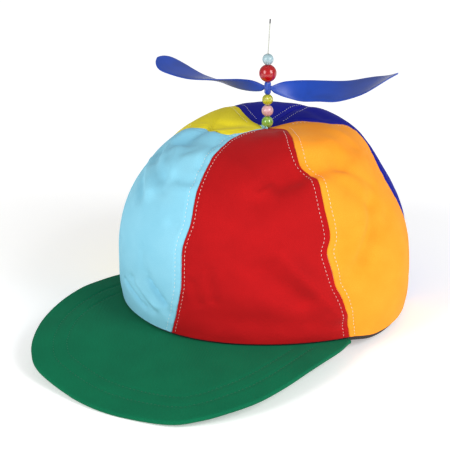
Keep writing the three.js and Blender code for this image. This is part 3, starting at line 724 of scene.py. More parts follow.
bpy.ops.object.select_all(action="DESELECT")
bpy.ops.mesh.primitive_uv_sphere_add(segments=8, ring_count=6, radius=0.5)
stitch = bpy.context.object
bpy.ops.object.mode_set(mode="EDIT")
bpy.ops.mesh.select_all(action="SELECT")
bpy.ops.transform.rotate(value=math.pi / 2, orient_axis="Y", center_override=(0, 0, 0))
bpy.ops.transform.resize(value=(STITCH_LENGTH, STITCH_WIDTH, STITCH_HEIGHT))
bpy.ops.object.mode_set(mode="OBJECT")
stitch_points = read_points(stitch)
stitch_points[:, 2] -= STITCH_DIP * (2 * stitch_points[:, 0] / STITCH_LENGTH) ** 2
stitch_faces = [tuple(face.vertices) for face in stitch.data.polygons]
bpy.data.objects.remove(stitch)
print("one stitch:", len(stitch_faces), "faces")


# %% Rows of stitches
# How far a stitch turns and strays from its line
SWING = 0.06
STRAY = 0.05


def evenly_spaced(line, pitch):
    """Places and directions a pitch apart along a fine line of points."""
    steps = np.linalg.norm(np.diff(line, axis=0), axis=1)
    run = np.concatenate([[0], np.cumsum(steps)])
    at = np.arange(pitch / 2, run[-1] - pitch / 2, pitch)
    places = np.stack([np.interp(at, run, line[:, i]) for i in range(3)], 1)
    ahead = np.stack([np.interp(at + 0.4, run, line[:, i]) for i in range(3)], 1)
    behind = np.stack([np.interp(at - 0.4, run, line[:, i]) for i in range(3)], 1)
    return places, unit(ahead - behind), at / run[-1]


def stitch_row(name, lines, material, slot, lift=0.05):
    """One mesh with a stitch at each place of several lines of (points, facings). Each
    stitch lies a little askew."""
    points, faces = [], []
    wobble = np.random.default_rng(len(name))
    for line, facings in lines:
        places, forward, share = evenly_spaced(line, STITCH_PITCH)
        at = share * (len(line) - 1)
        up = np.stack([np.interp(at, np.arange(len(line)), facings[:, i]) for i in range(3)], 1)
        side = unit(np.cross(up, forward))
        up = np.cross(forward, side)
        for place, ahead, across, above in zip(places, forward, side, up):
            turned = ahead + across * wobble.normal(0, SWING)
            first = len(points)
            offset = place + above * lift + across * wobble.normal(0, STRAY)
            shaped = offset + (
                stitch_points[:, [0]] * turned
                + stitch_points[:, [1]] * across
                + stitch_points[:, [2]] * above
            )
            points.extend(shaped * MM)
            faces.extend([tuple(i + first for i in face) for face in stitch_faces])
    mesh = bpy.data.meshes.new(name)
    mesh.from_pydata(points, [], faces)
    piece = bpy.data.objects.new(name, mesh)
    scene.collection.objects.link(piece)
    tidy_mesh(piece, 0.0005)
    smooth(piece, 60)
    finish_piece(piece, material, "cap", slot)


# %% [markdown]
# The thread is white polyester with a faint twist. It is smoother than the cotton, so it
# shines a little more.

# %% Thread
FIBRE = 0.3


def sewing_thread(name, hex_text):
    settings = {"Base Color": linear(hex_text), "Roughness": 0.55, "Sheen Weight": 0.15}
    material = new_material(name, settings)
    place = add_node(material, "TexCoord", out="Object")
    twist = {"Scale": 1 / (FIBRE * MM), "Detail": 1}
    fibre = add_node(material, "TexNoise", twist, {"Vector": place})
    fuzz = {"Strength": 0.3, "Distance": 0.05 * MM}
    join(material, add_node(material, "Bump", fuzz, {"Height": fibre}), "Normal")
    return material


WHITE_THREAD = sewing_thread("polyester_thread_white", "E6E2DC")
# The green thread is a little darker than the cloth: painted shade for the stitch grooves
GREEN_THREAD = sewing_thread("polyester_thread_green", "0B5A3E")
FRAYED_THREAD = sewing_thread("cotton_thread_frayed_pale_blue", "A9DCE6")

# %% White stitches on both sides of the seams
STITCH_FROM = 0.012
STITCH_TO = 0.965
# Past this share a crest of cloth hides the stitches of the yellow and blue seam
CREST_FROM = 0.8
# Near the top the panels are narrow, and their two rows keep apart
FARTHEST_IN = 0.42


def seam_line(panel, seam, after):
    """The stitch line on one side of a seam, on the panel that lies there."""
    _, start_seam, end_seam, turn_end, _ = panel
    last = CREST_FROM if seam == "yellow_blue" else STITCH_TO
    along = np.linspace(STITCH_FROM, last, 900)
    distance = STITCH_FROM_SEAM[seam][after]
    edge = read_curve(SEAMS[seam], 1, along) + (0 if after else turn_end)
    start = read_curve(SEAMS[start_seam], 1, along)
    end = read_curve(SEAMS[end_seam], 1, along) + turn_end
    wide = np.radians(end - start) * radius_at(along)
    away = np.minimum(distance, wide * FARTHEST_IN)
    deg = edge + np.degrees(away / radius_at(along)) * (1 if after else -1)
    places, facing = sewn_cloth(deg, along, start_seam, end_seam, turn_end)
    return places, settle_facing(facing)


for panel in PANELS:
    name, start_seam, end_seam, _, cloth = panel
    rows = [seam_line(panel, end_seam, False)]
    # The photo shows no stitches on the navy side of the orange seam
    if start_seam != "orange_navy":
        rows.append(seam_line(panel, start_seam, True))
    stitch_row("stitches_" + name, rows, WHITE_THREAD, "cloth_" + cloth)

# %% [markdown]
# ## The bill
# A bill is a stiff card between two layers of cloth, sewn through in rows that follow its
# edge, so the thread sinks into shallow grooves. Its outline comes from the same table
# as the solid. A grid is wrapped from the root over the top, round the edge and back
# underneath, and its two ends are closed.

# %% The bill's sizes
BILL_CORNER_DEG = 72
BILL_REACH = 77.7
BILL_HALF_WIDTH = 88.9
BILL_THICK = 3
BILL_TWIST = 3.7
BILL_ROUND_FROM = 0.985
BILL_CORNER_WIDTH = 1.6
BILL_ARCH = 1.6
BILL_CORNER_OUTSET = 1
HEM_TO_BILL = 0.45
BILL_BELOW_HEM = HEM_TO_BILL + BILL_THICK / 2
BILL_TIP_Y = -RIM_HALF_LENGTH - BILL_REACH
# share of the reach, share of the half width, share of the drop
OUTLINE = [
    (0, 0.97, 0.08), (0.1, 0.995, 0.07), (0.22, 1, 0.07), (0.35, 1, 0.098), (0.5, 0.981, 0.226),
    (0.65, 0.925, 0.398), (0.78, 0.826, 0.546), (0.87, 0.715, 0.689), (0.94, 0.551, 0.843),
    (0.985, 0.246, 0.97), (1, 0, 1),
]
BILL_CORNER_FADE = 0.35
SEWN_ROWS = (12, 20.5)
SEWN_DEPTH = 0.45
SEWN_WIDTH = 0.9


def hem_place(deg, inwards, down):
    turn = np.radians(deg)
    return np.stack(
        np.broadcast_arrays(
            (RIM_HALF_WIDTH - inwards) * np.sin(turn),
            -(RIM_HALF_LENGTH - inwards) * np.cos(turn),
            hem_height(deg) - down,
        ),
        -1,
    )


def tip_drop():
    raised = REAR_RIM_LIFT + (RIM_HALF_LENGTH - BILL_TIP_Y) * math.sin(TIP_BACK)
    return (raised - BILL_THICK / 2) / math.cos(TIP_BACK)


def outline_place(side):
    reach = np.sin((1 - np.abs(side)) * np.pi / 2)
    corner = hem_place(np.float64(BILL_CORNER_DEG), -BILL_CORNER_OUTSET, BILL_BELOW_HEM)
    corner_share = 1 - ease(reach / BILL_CORNER_FADE)
    round_share = np.sqrt(clamp01((1 - reach) / (1 - BILL_ROUND_FROM)))
    straight = read_curve(OUTLINE, 1, np.minimum(reach, BILL_ROUND_FROM))
    corner_half = corner[0] - BILL_HALF_WIDTH * OUTLINE[0][1]
    half = BILL_HALF_WIDTH * straight * round_share + corner_half * corner_share
    corner_drop = corner[2] + tip_drop() * OUTLINE[0][2]
    height = -tip_drop() * read_curve(OUTLINE, 2, reach) + corner_drop * corner_share
    x = half * np.sign(side)
    twist = BILL_TWIST * x / BILL_HALF_WIDTH * np.sqrt(clamp01(reach))
    return np.stack([x, corner[1] + (BILL_TIP_Y - corner[1]) * reach, height - twist], -1)


def bill_place(side, out):
    """The middle of the bill's thickness, from the crown at 0 to the outer edge at 1."""
    side, out = np.broadcast_arrays(np.asarray(side, float), np.asarray(out, float))
    root = hem_place(side * BILL_CORNER_DEG, CLOTH, BILL_BELOW_HEM)
    outward = outline_place(side) - root
    length = np.linalg.norm(outward, axis=-1)
    turn = np.radians(side * BILL_CORNER_DEG)
    corner = np.stack([np.sin(turn), np.full(side.shape, -0.4), np.zeros(side.shape)], -1)
    direction = unit(np.where((length < BILL_CORNER_WIDTH)[..., None], corner, outward))
    width = np.maximum(BILL_CORNER_WIDTH, length - BILL_THICK / 2)
    arch = BILL_ARCH * np.sin(np.pi * out) * ease(width / BILL_REACH)
    place = root + direction * (width * out)[..., None]
    return place + arch[..., None] * np.array([0, 0, 1.0])


def bill_facing(side, out):
    around = bill_place(np.minimum(1, side + 0.01), out) - bill_place(
        np.maximum(-1, side - 0.01), out
    )
    outward = bill_place(side, np.minimum(1, out + 0.02)) - bill_place(
        side, np.maximum(0, out - 0.02)
    )
    return unit(np.cross(outward, around))


def keep_above_table(place):
    lifted = place.copy()
    lifted[..., 2] = np.maximum(0, lifted[..., 2])
    return lifted


# %% Distance of a place on the bill from its outer edge
edge_line = bill_place(np.linspace(-1, 1, 400), 1.0)


def from_edge(places):
    """How far in from the outer edge, seen from above."""
    flat = places[..., :2].reshape(-1, 1, 2)
    start, end = edge_line[:-1, :2], edge_line[1:, :2]
    step = end - start
    share = clamp01(((flat - start) * step).sum(-1) / (step**2).sum(-1))
    away = np.linalg.norm(flat - start - share[..., None] * step, axis=-1)
    return away.min(1).reshape(places.shape[:-1])


# %% The bill's mesh
BILL_STEPS_ROUND = 220
TOP_STEPS = 64
EDGE_STEPS = 8
UNDER_STEPS = 30
BILL_LOOP = TOP_STEPS + EDGE_STEPS + UNDER_STEPS + 1


def bill_surface(side, loop):
    """A place on the bill's skin: loop runs over the top, the edge and the underside."""
    edge_end = TOP_STEPS + EDGE_STEPS
    back = (edge_end + UNDER_STEPS - loop) / UNDER_STEPS
    out = np.where(loop <= TOP_STEPS, loop / TOP_STEPS, np.where(loop <= edge_end, 1, back))
    out = clamp01(out)
    turn = np.pi / 2 - np.pi * clamp01((loop - TOP_STEPS) / EDGE_STEPS)
    middle = bill_place(side, out)
    facing = np.where(
        ((loop > TOP_STEPS) & (loop < edge_end))[..., None],
        bill_facing(side, np.full(out.shape, 0.5)),
        bill_facing(side, out),
    )
    rim, near_rim = np.ones(out.shape), np.full(out.shape, 0.9)
    outward = unit(bill_place(side, rim) - bill_place(side, near_rim))
    away = from_edge(middle)
    sewn = sum(np.exp(-(((away - row) / SEWN_WIDTH) ** 2)) for row in SEWN_ROWS)
    inside = ease(np.linalg.norm(middle - bill_place(side, 0), axis=-1) / 8)
    half = BILL_THICK / 2 - SEWN_DEPTH * sewn * inside * (np.abs(np.cos(turn)) < 0.01)
    skin = middle + facing * (half * np.sin(turn))[..., None]
    return skin + outward * (BILL_THICK / 2 * np.cos(turn) * (turn != np.pi / 2))[..., None]


bill, x, y = new_grid("bill", BILL_STEPS_ROUND, BILL_LOOP)
side = 2 * x - 1
loop = np.round(y * BILL_LOOP)
loop = np.where(loop == BILL_LOOP, 0, loop)
skin = bill_surface(side, loop)
write_points(bill, keep_above_table(settle(skin)))
write_cut(bill, skin[:, 0], skin[:, 1])
close_ends(bill)
smooth(bill, 50)
finish_piece(bill, TWILL["green"], "cap", "cloth_green", "brim")

# %% [markdown]
# The rows on the bill are sewn in thread of the cloth's own colour, made a little darker than
# the cloth: painted shade for the grooves the thread lies in. Each stitch line is found by
# going inwards from the edge until the distance is right.

# %% Green stitches on the bill
ROW_END = 0.93
HALVINGS = 24
THREAD_SUNK = SEWN_DEPTH * 0.8


def bill_row(distance):
    side = np.linspace(-ROW_END, ROW_END, 900)
    low, high = np.zeros(side.shape), np.ones(side.shape)
    for _ in range(HALVINGS):
        middle = (low + high) / 2
        too_far_in = from_edge(bill_place(side, middle)) > distance
        low, high = np.where(too_far_in, middle, low), np.where(too_far_in, high, middle)
    out = (low + high) / 2
    kept = (out > 0.04) & (out < 0.97)
    side, out = side[kept], out[kept]
    facing = bill_facing(side, out)
    place = bill_place(side, out) + facing * (BILL_THICK / 2 - THREAD_SUNK)
    return settle(place), settle_facing(facing)


bill_rows = [bill_row(distance) for distance in SEWN_ROWS]
stitch_row("stitches_bill", bill_rows, GREEN_THREAD, "cloth_green", 0.0)

# %% [markdown]
# ## The sweatband
# Inside the rim sits a band of black ribbed tape. Only its lower edge shows below the
# cloth. It is a closed loop with rounded edges. Its woven ribs stand upright and are matt,
# with a faint bloom, and they are part of its finish.

# %% The sweatband
BAND_THICK = 1.2
BAND_INSET = CLOTH + 0.55
BAND_AROUND = 300
BAND_RIB = 0.8
# Shares of the thickness and millimetres from the hem, downwards, once round the tape
BAND_SECTION = [
    (0.0, -0.5), (0.0, -4), (0.0, -9), (0.0, -14), (0.0, -19), (0.0, -23), (0.0, -25.5),
    (0.15, -25.9), (0.5, -26), (0.85, -25.9), (1.0, -25.5), (1.0, -23), (1.0, -19), (1.0, -14),
    (1.0, -9), (1.0, -4), (1.0, 0.5), (1.0, 1.9), (0.85, 2.3), (0.5, 2.4), (0.15, 2.3), (0.0, 1.9),
]

band, x, y = new_grid("sweatband_tape", BAND_AROUND, len(BAND_SECTION))
deg = 360 * x
row = np.mod(np.round(y * len(BAND_SECTION)).astype(int), len(BAND_SECTION))
section = np.array(BAND_SECTION)[row]
tape = hem_place(deg, BAND_INSET + BAND_THICK * section[:, 0], section[:, 1])
write_points(band, keep_above_table(settle(tape)))
write_cut(band, np.radians(deg) * RIM_MEAN, section[:, 1])
tidy_mesh(band)
smooth(band)

grosgrain = new_material(
    "ribbed_tape_black",
    {"Base Color": linear("17171A"), "Roughness": 0.8, "Sheen Weight": 0.1},
)
cut = add_node(grosgrain, "UVMap", {"uv_map": "cut"})
flat = add_node(grosgrain, "Mapping", {"Scale": TO_MM}, {"Vector": cut})
wave = {"bands_direction": "X", "Scale": math.pi / 10 / BAND_RIB}
ribs = add_node(grosgrain, "TexWave", wave, {"Vector": flat}, out=1)
raised = {"Strength": 0.6, "Distance": 0.2 * MM}
join(grosgrain, add_node(grosgrain, "Bump", raised, {"Height": ribs}), "Normal")
finish_piece(band, grosgrain, "cap", "band_black", "sweatband")

# %% [markdown]
# ## Wire
# A steel wire stands in the top of the crown, on a plain disc under the cloth. It is a
# cylinder whose lower end is widened by extruding it, and whose upper end is rounded. Above
# the top bead it leans a little, as if it had been knocked. Drawn steel is grey and half
# bright, so it mirrors the white room in a blur, and its tip has gone dark.

# %% The wire
wire_top = wire_high.z
foot_low = wire_low.z
FOOT_R = 5
FOOT_THICK = 1.2
wire_x, wire_y = CROWN_TOP[0] * MM, CROWN_TOP[1] * MM
foot_top = foot_low + FOOT_THICK * MM


def add_cylinder(name, sides, radius, depth, middle_z):
    """A cylinder round the wire's axis, in metres."""
    bpy.ops.object.select_all(action="DESELECT")
    place = (wire_x, wire_y, middle_z)
    bpy.ops.mesh.primitive_cylinder_add(vertices=sides, radius=radius, depth=depth, location=place)
    piece = bpy.context.object
    piece.name = name
    bpy.ops.object.transform_apply(location=True, rotation=True, scale=True)
    return piece


def select_faces(piece, wanted):
    """Selects, in edit mode, the faces whose middle and normal pass a test."""
    bpy.ops.object.mode_set(mode="OBJECT")
    for vertex in piece.data.vertices:
        vertex.select = False
    for edge in piece.data.edges:
        edge.select = False
    for face in piece.data.polygons:
        face.select = bool(wanted(face.center, face.normal))
    bpy.ops.object.mode_set(mode="EDIT")
    bpy.ops.mesh.select_mode(type="FACE")


def extrude(direction, scale=1.0):
    bpy.ops.mesh.extrude_region_move(TRANSFORM_OT_translate={"value": direction})
    bpy.ops.transform.resize(value=(scale, scale, 1))


wire = add_cylinder("wire", 20, WIRE_R * MM, wire_top - foot_top, (wire_top + foot_top) / 2)
select_faces(wire, lambda centre, normal: normal.z < -0.9)
extrude((0, 0, 0), FOOT_R / WIRE_R)
extrude((0, 0, -FOOT_THICK * MM))
select_faces(wire, lambda centre, normal: normal.z > 0.9 and centre.z > wire_top - MM)
bpy.ops.mesh.bevel(offset=WIRE_R * 0.7 * MM, segments=3, affect="EDGES")
bpy.ops.object.mode_set(mode="OBJECT")
tidy_mesh(wire)

# %% The wire's lean and steel
WIRE_LEAN = 0.052
# To the right of the picture
LEAN_WAY = np.array([0.809, 0.588])
DARK_TIP = 2.8
lean_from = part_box("bead_pale_blue")[1].z

edit_all(wire)
bpy.ops.mesh.bisect(plane_co=(wire_x, wire_y, lean_from), plane_no=(0, 0, 1))
bpy.ops.object.mode_set(mode="OBJECT")
points = read_points(wire)
above_bead = np.maximum(0, points[:, 2] - lean_from)
points[:, :2] += WIRE_LEAN * above_bead[:, None] * LEAN_WAY
write_points(wire, points / MM)
smooth(wire, 35)
print("wire tip:", np.round(points[points[:, 2].argmax()] / MM, 2), "mm")

steel = new_material("drawn_steel_wire", {"Metallic": 1.0, "Roughness": 0.32})
place = add_node(steel, "TexCoord", out="Object")
height = add_node(steel, "SeparateXYZ", None, {"Vector": place}, out="Z")
fade = {
    "From Min": wire_top - (DARK_TIP + 0.4) * MM, "From Max": wire_top - (DARK_TIP - 0.4) * MM,
}
tip = add_node(steel, "MapRange", fade, {"Value": height})
colours = {"data_type": "RGBA", 6: linear("C2C4BA"), 7: linear("2A2A2C")}
join(steel, add_node(steel, "Mix", colours, {0: tip}, out=2), "Base Color")
finish_piece(wire, steel, "cap", "steel_wire", "spindle")

# %% [markdown]
# ## Beads
# A bead is a ball with a hole through it. The ball is Blender's UV sphere; the faces round
# its poles are removed as far out as the bore is wide, and a bridge of faces joins the two
# holes into one tube. The yellow bead is also fluted like a melon.

# %% Bead shapes
BEAD_BORE_R = WIRE_R + 0.35
FLUTE_DEPTH = 0.3
FLUTE_FROM_BORE = 1.6
BORE_EDGE = 0.12


def flute(points, flutes, depth):
    """Draws points in towards the wire, in waves round it."""
    flat = points[:, :2] - np.array([wire_x, wire_y])
    away = np.maximum(np.linalg.norm(flat, axis=1), 1e-9)
    wave = 0.5 - 0.5 * np.cos(flutes * np.arctan2(flat[:, 1], flat[:, 0]))
    points[:, :2] -= flat * (depth(away) * wave / away)[:, None]


def thread_bead(name, node, radius, flutes):
    low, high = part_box(node)
    middle = (wire_x, wire_y, (low.z + high.z) / 2)
    bpy.ops.object.select_all(action="DESELECT")
    bpy.ops.mesh.primitive_uv_sphere_add(
        segments=64, ring_count=40, radius=radius * MM, location=middle
    )
    piece = bpy.context.object
    piece.name = name
    bpy.ops.object.transform_apply(location=True, rotation=True, scale=True)
    bore, centre = BEAD_BORE_R * MM, Vector((wire_x, wire_y, 0))
    select_faces(piece, lambda at, normal: (at - centre).xy.length < bore)
    bpy.ops.mesh.delete(type="FACE")
    bpy.ops.mesh.select_all(action="DESELECT")
    bpy.ops.mesh.select_mode(type="EDGE")
    bpy.ops.mesh.select_non_manifold()
    bpy.ops.mesh.bridge_edge_loops()
    bpy.ops.object.mode_set(mode="OBJECT")
    points = read_points(piece)
    if flutes:
        flute(
            points,
            flutes,
            lambda away: FLUTE_DEPTH * MM * ease((away / MM - BEAD_BORE_R) / FLUTE_FROM_BORE),
        )
    write_points(piece, points / MM)
    tidy_mesh(piece)
    apply_modifier(
        piece, "BEVEL", width=BORE_EDGE * MM, segments=2, limit_method="ANGLE",
        angle_limit=math.radians(50),
    )
    smooth(piece, 40)
    return piece


# %% [markdown]
# The beads are cast acrylic. Clear tinted ones let light through and bend it, and the pale
# blue one is frosted, so it blurs what shines through. The pearly one has fine flakes under
# a clear skin, and the red one is solid colour polished smooth.
# The green one has pale patches mixed into its colour at random: painted reflections, standing in
# for the light that the clear bead bends inside it.

# %% Bead finishes
# piece, solid, radius, flutes, material, colour, share of light let through,
# roughness, flecks: colour, share, size and bump
BEADS = [
    # Green: its pale flecks are painted reflections of the light bent inside the clear bead
    ("bead_green_crackle", "bead_green", 3.7, 0, "acrylic_crackle_green", "8FD23C", 0.4, 0.12,
     ("D6EE8A", 0.7, 1.6, 0.5)),
    ("bead_pink_pearl", "bead_pink", 3.7, 0, "acrylic_pearl_pink", "D99CA2", 0.1, 0.3,
     ("EBC6C8", 0.8, 0.9, 0.12)),
    ("bead_yellow_fluted", "bead_yellow", 3.55, 12, "acrylic_clear_yellow", "D2D034", 0.35, 0.14,
     ("B4B41E", 0.4, 2.0, 0)),
    ("bead_red_polished", "bead_red", 5.6, 0, "acrylic_polished_red", "A8040F", 0.0, 0.24, None),
    ("bead_pale_blue_clear", "bead_pale_blue", 3.6, 0, "acrylic_frosted_pale_blue", "BFDDE4",
     0.4, 0.3, ("A6C6CE", 0.5, 2.2, 0)),
]


def acrylic(name, hex_text, through, rough, flecks):
    material = new_material(
        name,
        {
            "Base Color": linear(hex_text), "Roughness": rough, "IOR": 1.49,
            "Transmission Weight": through, "Coat Weight": 0.6, "Coat Roughness": 0.05,
        },
    )
    if not flecks:
        return material
    fleck_hex, most, size, bump = flecks
    # Flecks mix a second colour in at random; on the green bead they are painted reflections
    place = add_node(material, "TexCoord", out="Object")
    mm = add_node(material, "Mapping", {"Scale": TO_MM}, {"Vector": place})
    cells = add_node(material, "TexNoise", {"Scale": 1 / size, "Detail": 2}, {"Vector": mm})
    sharp = {"From Min": 0.4, "From Max": 0.65, "To Max": most}
    share = add_node(material, "MapRange", sharp, {"Value": cells})
    colours = {"data_type": "RGBA", 6: linear(hex_text), 7: linear(fleck_hex)}
    join(material, add_node(material, "Mix", colours, {0: share}, out=2), "Base Color")
    if bump:
        fleck_bump = {"Strength": bump, "Distance": 0.2 * MM}
        join(material, add_node(material, "Bump", fleck_bump, {"Height": cells}), "Normal")
    return material


for name, node, radius, flutes, *finish in BEADS:
    bead = thread_bead(name, node, radius, flutes)
    finish_piece(bead, acrylic(*finish), "cap", node, node)

# %% [markdown]
# ## The propeller
# The propeller is one moulding: a short fluted tube on the wire and two twisted blades,
# each on a slim neck. A blade is a grid wrapped round a thin section that turns from
# upright at the tube to almost flat at the rounded tip. The tube is a cylinder with tapered
# ends, bored by a second one, and the three are united. The necks and the flutes are read
# from the picture, and are finer than the solid's.

# %% The propeller's sizes
PROPELLER_TURN = math.radians(18.3)
LONG_REACH = 83
SHORT_REACH = 73.6
BLADE_CHORD = 34.6
BLADE_RISE = 17.4
BLADE_TIP_LENGTH = 18
BLADE_TIP_STEPS = 0.28
BLADE_TIP_CUT = 0.985
BLADE_THICK = 1.2
BLADE_EDGE_THICK = 0.6
BLADE_EDGE_WIDTH = 1.6
BLADE_LIFT = 0.4
HUB_LENGTH = 8
HUB_R = 2.15
HUB_END_R = 1.5
HUB_TAPER = 1.2
HUB_SHOULDER = 0.9
HUB_BORE_R = WIRE_R + 0.4
HUB_FLUTES = 8
HUB_FLUTE_SHARE = 0.28 / HUB_R
# share of the long reach, share of the chord, slope of the chord, share of the rise
BLADE = [
    (0, 0.06, 92, 0), (0.028, 0.08, 85, -0.02), (0.05, 0.145, 79, -0.037),
    (0.085, 0.215, 72, -0.02), (0.13, 0.285, 63.5, -0.007), (0.19, 0.352, 53, -0.003),
    (0.29, 0.478, 36, 0.005), (0.42, 0.615, 20, 0.06), (0.58, 0.796, 10.5, 0.136),
    (0.74, 0.92, 4, 0.375), (0.86, 1, -3.5, 0.612), (1, 0.776, -11, 1),
]
hub_middle = (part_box("bead_red")[0].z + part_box("bead_yellow")[1].z) / 2
BLADE_STEPS = 120
SECTION_STEPS = 40


def blade(name, reach, turn):
    piece, x, y = new_grid(name, BLADE_STEPS, SECTION_STEPS)
    root = (HUB_BORE_R + HUB_R) / 2
    tip_start = reach - BLADE_TIP_LENGTH
    inner = 1 - BLADE_TIP_STEPS
    tip_share = np.minimum(1, (x - inner) / BLADE_TIP_STEPS) * BLADE_TIP_CUT
    out = np.where(
        x < inner,
        root + (tip_start - root) * x / inner,
        tip_start + BLADE_TIP_LENGTH * np.sin(np.pi / 2 * tip_share),
    )
    left = clamp01((reach - out) / BLADE_TIP_LENGTH)
    chord = BLADE_CHORD * read_curve(BLADE, 1, out / LONG_REACH) * np.sqrt(1 - (1 - left) ** 2) / 2
    slope = np.radians(read_curve(BLADE, 2, out / LONG_REACH))
    rise = BLADE_RISE * read_curve(BLADE, 3, out / LONG_REACH) + BLADE_LIFT
    angle = 2 * np.pi * np.mod(np.round(y * SECTION_STEPS), SECTION_STEPS) / SECTION_STEPS
    # Powers below 1 square the section's oval, so that its sides run even
    across = chord * np.sign(np.cos(angle)) * np.abs(np.cos(angle)) ** 0.8
    near_edge = clamp01((chord - np.abs(across)) / np.minimum(BLADE_EDGE_WIDTH, chord / 2))
    half_thick = BLADE_EDGE_THICK / 2 + (BLADE_THICK - BLADE_EDGE_THICK) / 2 * ease(near_edge)
    above = half_thick * np.sign(np.sin(angle)) * np.abs(np.sin(angle)) ** 0.25
    above = np.where(np.abs(np.sin(angle)) < 1e-6, 0, above)
    sideways = across * np.cos(slope) - above * np.sin(slope)
    upward = across * np.sin(slope) + above * np.cos(slope) + rise
    c, s = math.cos(turn), math.sin(turn)
    turned = np.stack([out * c - sideways * s, out * s + sideways * c, upward], -1)
    write_points(piece, turned + np.array([CROWN_TOP[0], CROWN_TOP[1], hub_middle / MM]))
    close_ends(piece)
    return piece


# %% Hub and blades in one body
straight = (HUB_LENGTH - 2 * HUB_TAPER) * MM
propeller = add_cylinder("propeller_moulding", 96, HUB_R * MM, straight, hub_middle)
for way in (1, -1):
    select_faces(propeller, lambda centre, normal: normal.z * way > 0.9)
    extrude((0, 0, way * HUB_TAPER * MM * 0.6), HUB_SHOULDER)
    extrude((0, 0, way * HUB_TAPER * MM * 0.4), HUB_END_R / HUB_R / HUB_SHOULDER)
bpy.ops.object.mode_set(mode="OBJECT")
points = read_points(propeller)
flute(points, HUB_FLUTES, lambda away: HUB_FLUTE_SHARE * away)
write_points(propeller, points / MM)

bore = add_cylinder("bore", 48, HUB_BORE_R * MM, 2 * HUB_LENGTH * MM, hub_middle)
for operation, part in (
    ("UNION", blade("long_blade", LONG_REACH, PROPELLER_TURN)),
    ("UNION", blade("short_blade", SHORT_REACH, PROPELLER_TURN + math.pi)),
    ("DIFFERENCE", bore),
):
    apply_modifier(propeller, "BOOLEAN", operation=operation, object=part, solver="EXACT")
    bpy.data.objects.remove(part)
tidy_mesh(propeller, WELD_MM / 2)
# Cut into triangles here, so that no exporter lays two of them back to back
apply_modifier(propeller, "TRIANGULATE", quad_method="BEAUTY", ngon_method="BEAUTY")
smooth(propeller, 35)

# %% [markdown]
# The moulding is blue polypropylene. It flowed into the mould in faint clouds, and its skin
# is smooth, but not polished. The tube, which the wire and the beads rub, is glossier than
# the blades, so the roughness follows the distance from the wire.

# %% Moulded polypropylene
FLOW_CLOUD = 18
SKIN_GRAIN = 0.8

moulded = new_material(
    "polypropylene_moulded_blue",
    {"IOR": 1.49, "Specular IOR Level": 0.4, "Coat Weight": 0.4, "Coat Roughness": 0.28},
)
place = add_node(moulded, "TexCoord", out="Object")
mm = add_node(moulded, "Mapping", {"Scale": TO_MM}, {"Vector": place})
clouds = {"Scale": 1 / FLOW_CLOUD, "Detail": 3, "Distortion": 0.6}
flow = add_node(moulded, "TexNoise", clouds, {"Vector": mm})
share = add_node(moulded, "MapRange", {"From Min": 0.35, "From Max": 0.7}, {"Value": flow})
colours = {"data_type": "RGBA", 6: linear("0B43B0"), 7: linear("083A9A")}
join(moulded, add_node(moulded, "Mix", colours, {0: share}, out=2), "Base Color")
grain = add_node(moulded, "TexNoise", {"Scale": 1 / SKIN_GRAIN, "Detail": 1}, {"Vector": mm})
skin = {"Strength": 0.08, "Distance": 0.1 * MM}
join(moulded, add_node(moulded, "Bump", skin, {"Height": grain}), "Normal")
flat = add_node(moulded, "VectorMath", {"operation": "MULTIPLY", 1: (1, 1, 0)}, {0: place})
to_axis = {"operation": "DISTANCE", 1: (wire_x, wire_y, 0)}
from_axis = add_node(moulded, "VectorMath", to_axis, {0: flat}, out="Value")
rub = {"From Min": HUB_R * MM, "From Max": 2 * HUB_R * MM, "To Min": 0.1, "To Max": 0.46}
join(moulded, add_node(moulded, "MapRange", rub, {"Value": from_axis}), "Roughness")
finish_piece(propeller, moulded, "propeller_body", "propeller_blue", "propeller")

# %% [markdown]
# ## Thread ends
# Where the wire comes out of the crown, a few frayed threads of the light blue cloth stick
# up round it. They are soft and matt, like the thread that they come from. Each is a short
# bent curve given a round section and turned into a mesh, and all are joined.

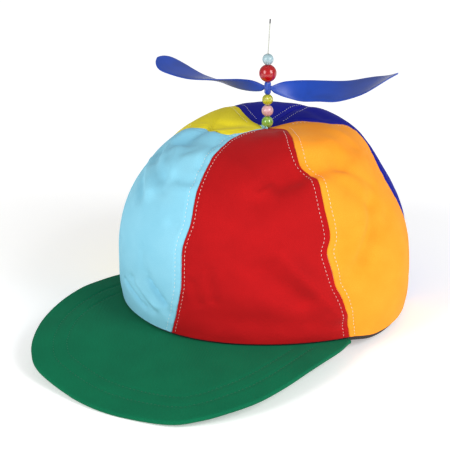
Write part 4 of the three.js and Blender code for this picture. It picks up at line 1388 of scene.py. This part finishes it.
# %% Thread ends at the wire
THREAD_ENDS = 12
THREAD_END_R = 0.26
ENDS_BETWEEN = (-190, -40)
ENDS_FROM_WIRE = 1.1
draws = np.random.default_rng(7)
ends = []
for _ in range(THREAD_ENDS):
    turn = math.radians(draws.uniform(*ENDS_BETWEEN))
    outward = Vector((math.cos(turn), math.sin(turn), 0))
    start = ENDS_FROM_WIRE * outward + Vector((0, 0, -0.6))
    middle = start + draws.uniform(1.3, 2.6) * outward + Vector((0, 0, draws.uniform(1, 1.9)))
    spread = Vector((draws.uniform(-0.7, 0.7), draws.uniform(-0.7, 0.7), draws.uniform(0, 1.3)))
    end = middle + draws.uniform(0.2, 1.2) * outward + spread
    curve = bpy.data.curves.new("thread_end", "CURVE")
    curve.dimensions = "3D"
    curve.bevel_depth = THREAD_END_R * MM
    curve.bevel_resolution = 2
    curve.use_fill_caps = True
    spline = curve.splines.new("BEZIER")
    spline.bezier_points.add(2)
    for knot, at in zip(spline.bezier_points, (start, middle, end)):
        knot.co = Vector(CROWN_TOP) * MM + at * MM
        knot.handle_left_type = knot.handle_right_type = "AUTO"
    one = bpy.data.objects.new("thread_end", curve)
    scene.collection.objects.link(one)
    ends.append(one)
bpy.ops.object.select_all(action="DESELECT")
for one in ends:
    one.select_set(True)
bpy.context.view_layer.objects.active = ends[0]
bpy.ops.object.convert(target="MESH")
bpy.ops.object.join()
tuft = bpy.context.object
tuft.name = "thread_ends"
smooth(tuft, 60)
finish_piece(tuft, FRAYED_THREAD, "cap", "cloth_light_blue")

# %% [markdown]
# ## Paper floor
# White background paper, whose material glows: painted light that keeps the paper pure white
# and lights the cap softly from below, so that hardly any shadow stays on the paper. The glow
# grows with the distance from the cap, where the softboxes reach less.

# %% Paper floor
PAPER_TOOTH = 2.5

paper = new_material(
    "background_paper",
    {"Base Color": linear("FCFCFC"), "Roughness": 0.9, "Emission Color": (1, 1, 1, 1)},
)
place = add_node(paper, "TexCoord", out="Object")
fibres = {"Scale": 1 / (PAPER_TOOTH * MM), "Detail": 2}
tooth = add_node(paper, "TexNoise", fibres, {"Vector": place})
pressed = {"Strength": 0.05, "Distance": 0.1 * MM}
join(paper, add_node(paper, "Bump", pressed, {"Height": tooth}), "Normal")
# Painted light: the paper's glow, stronger away from the cap, which also lights the cap from below
away = add_node(paper, "VectorMath", {"operation": "LENGTH"}, {0: place}, out="Value")
painted_glow = {"From Min": 0.14, "From Max": 1.0, "To Min": 0.3, "To Max": 0.62}
join(paper, add_node(paper, "MapRange", painted_glow, {"Value": away}), "Emission Strength")
floor.data.materials.append(paper)
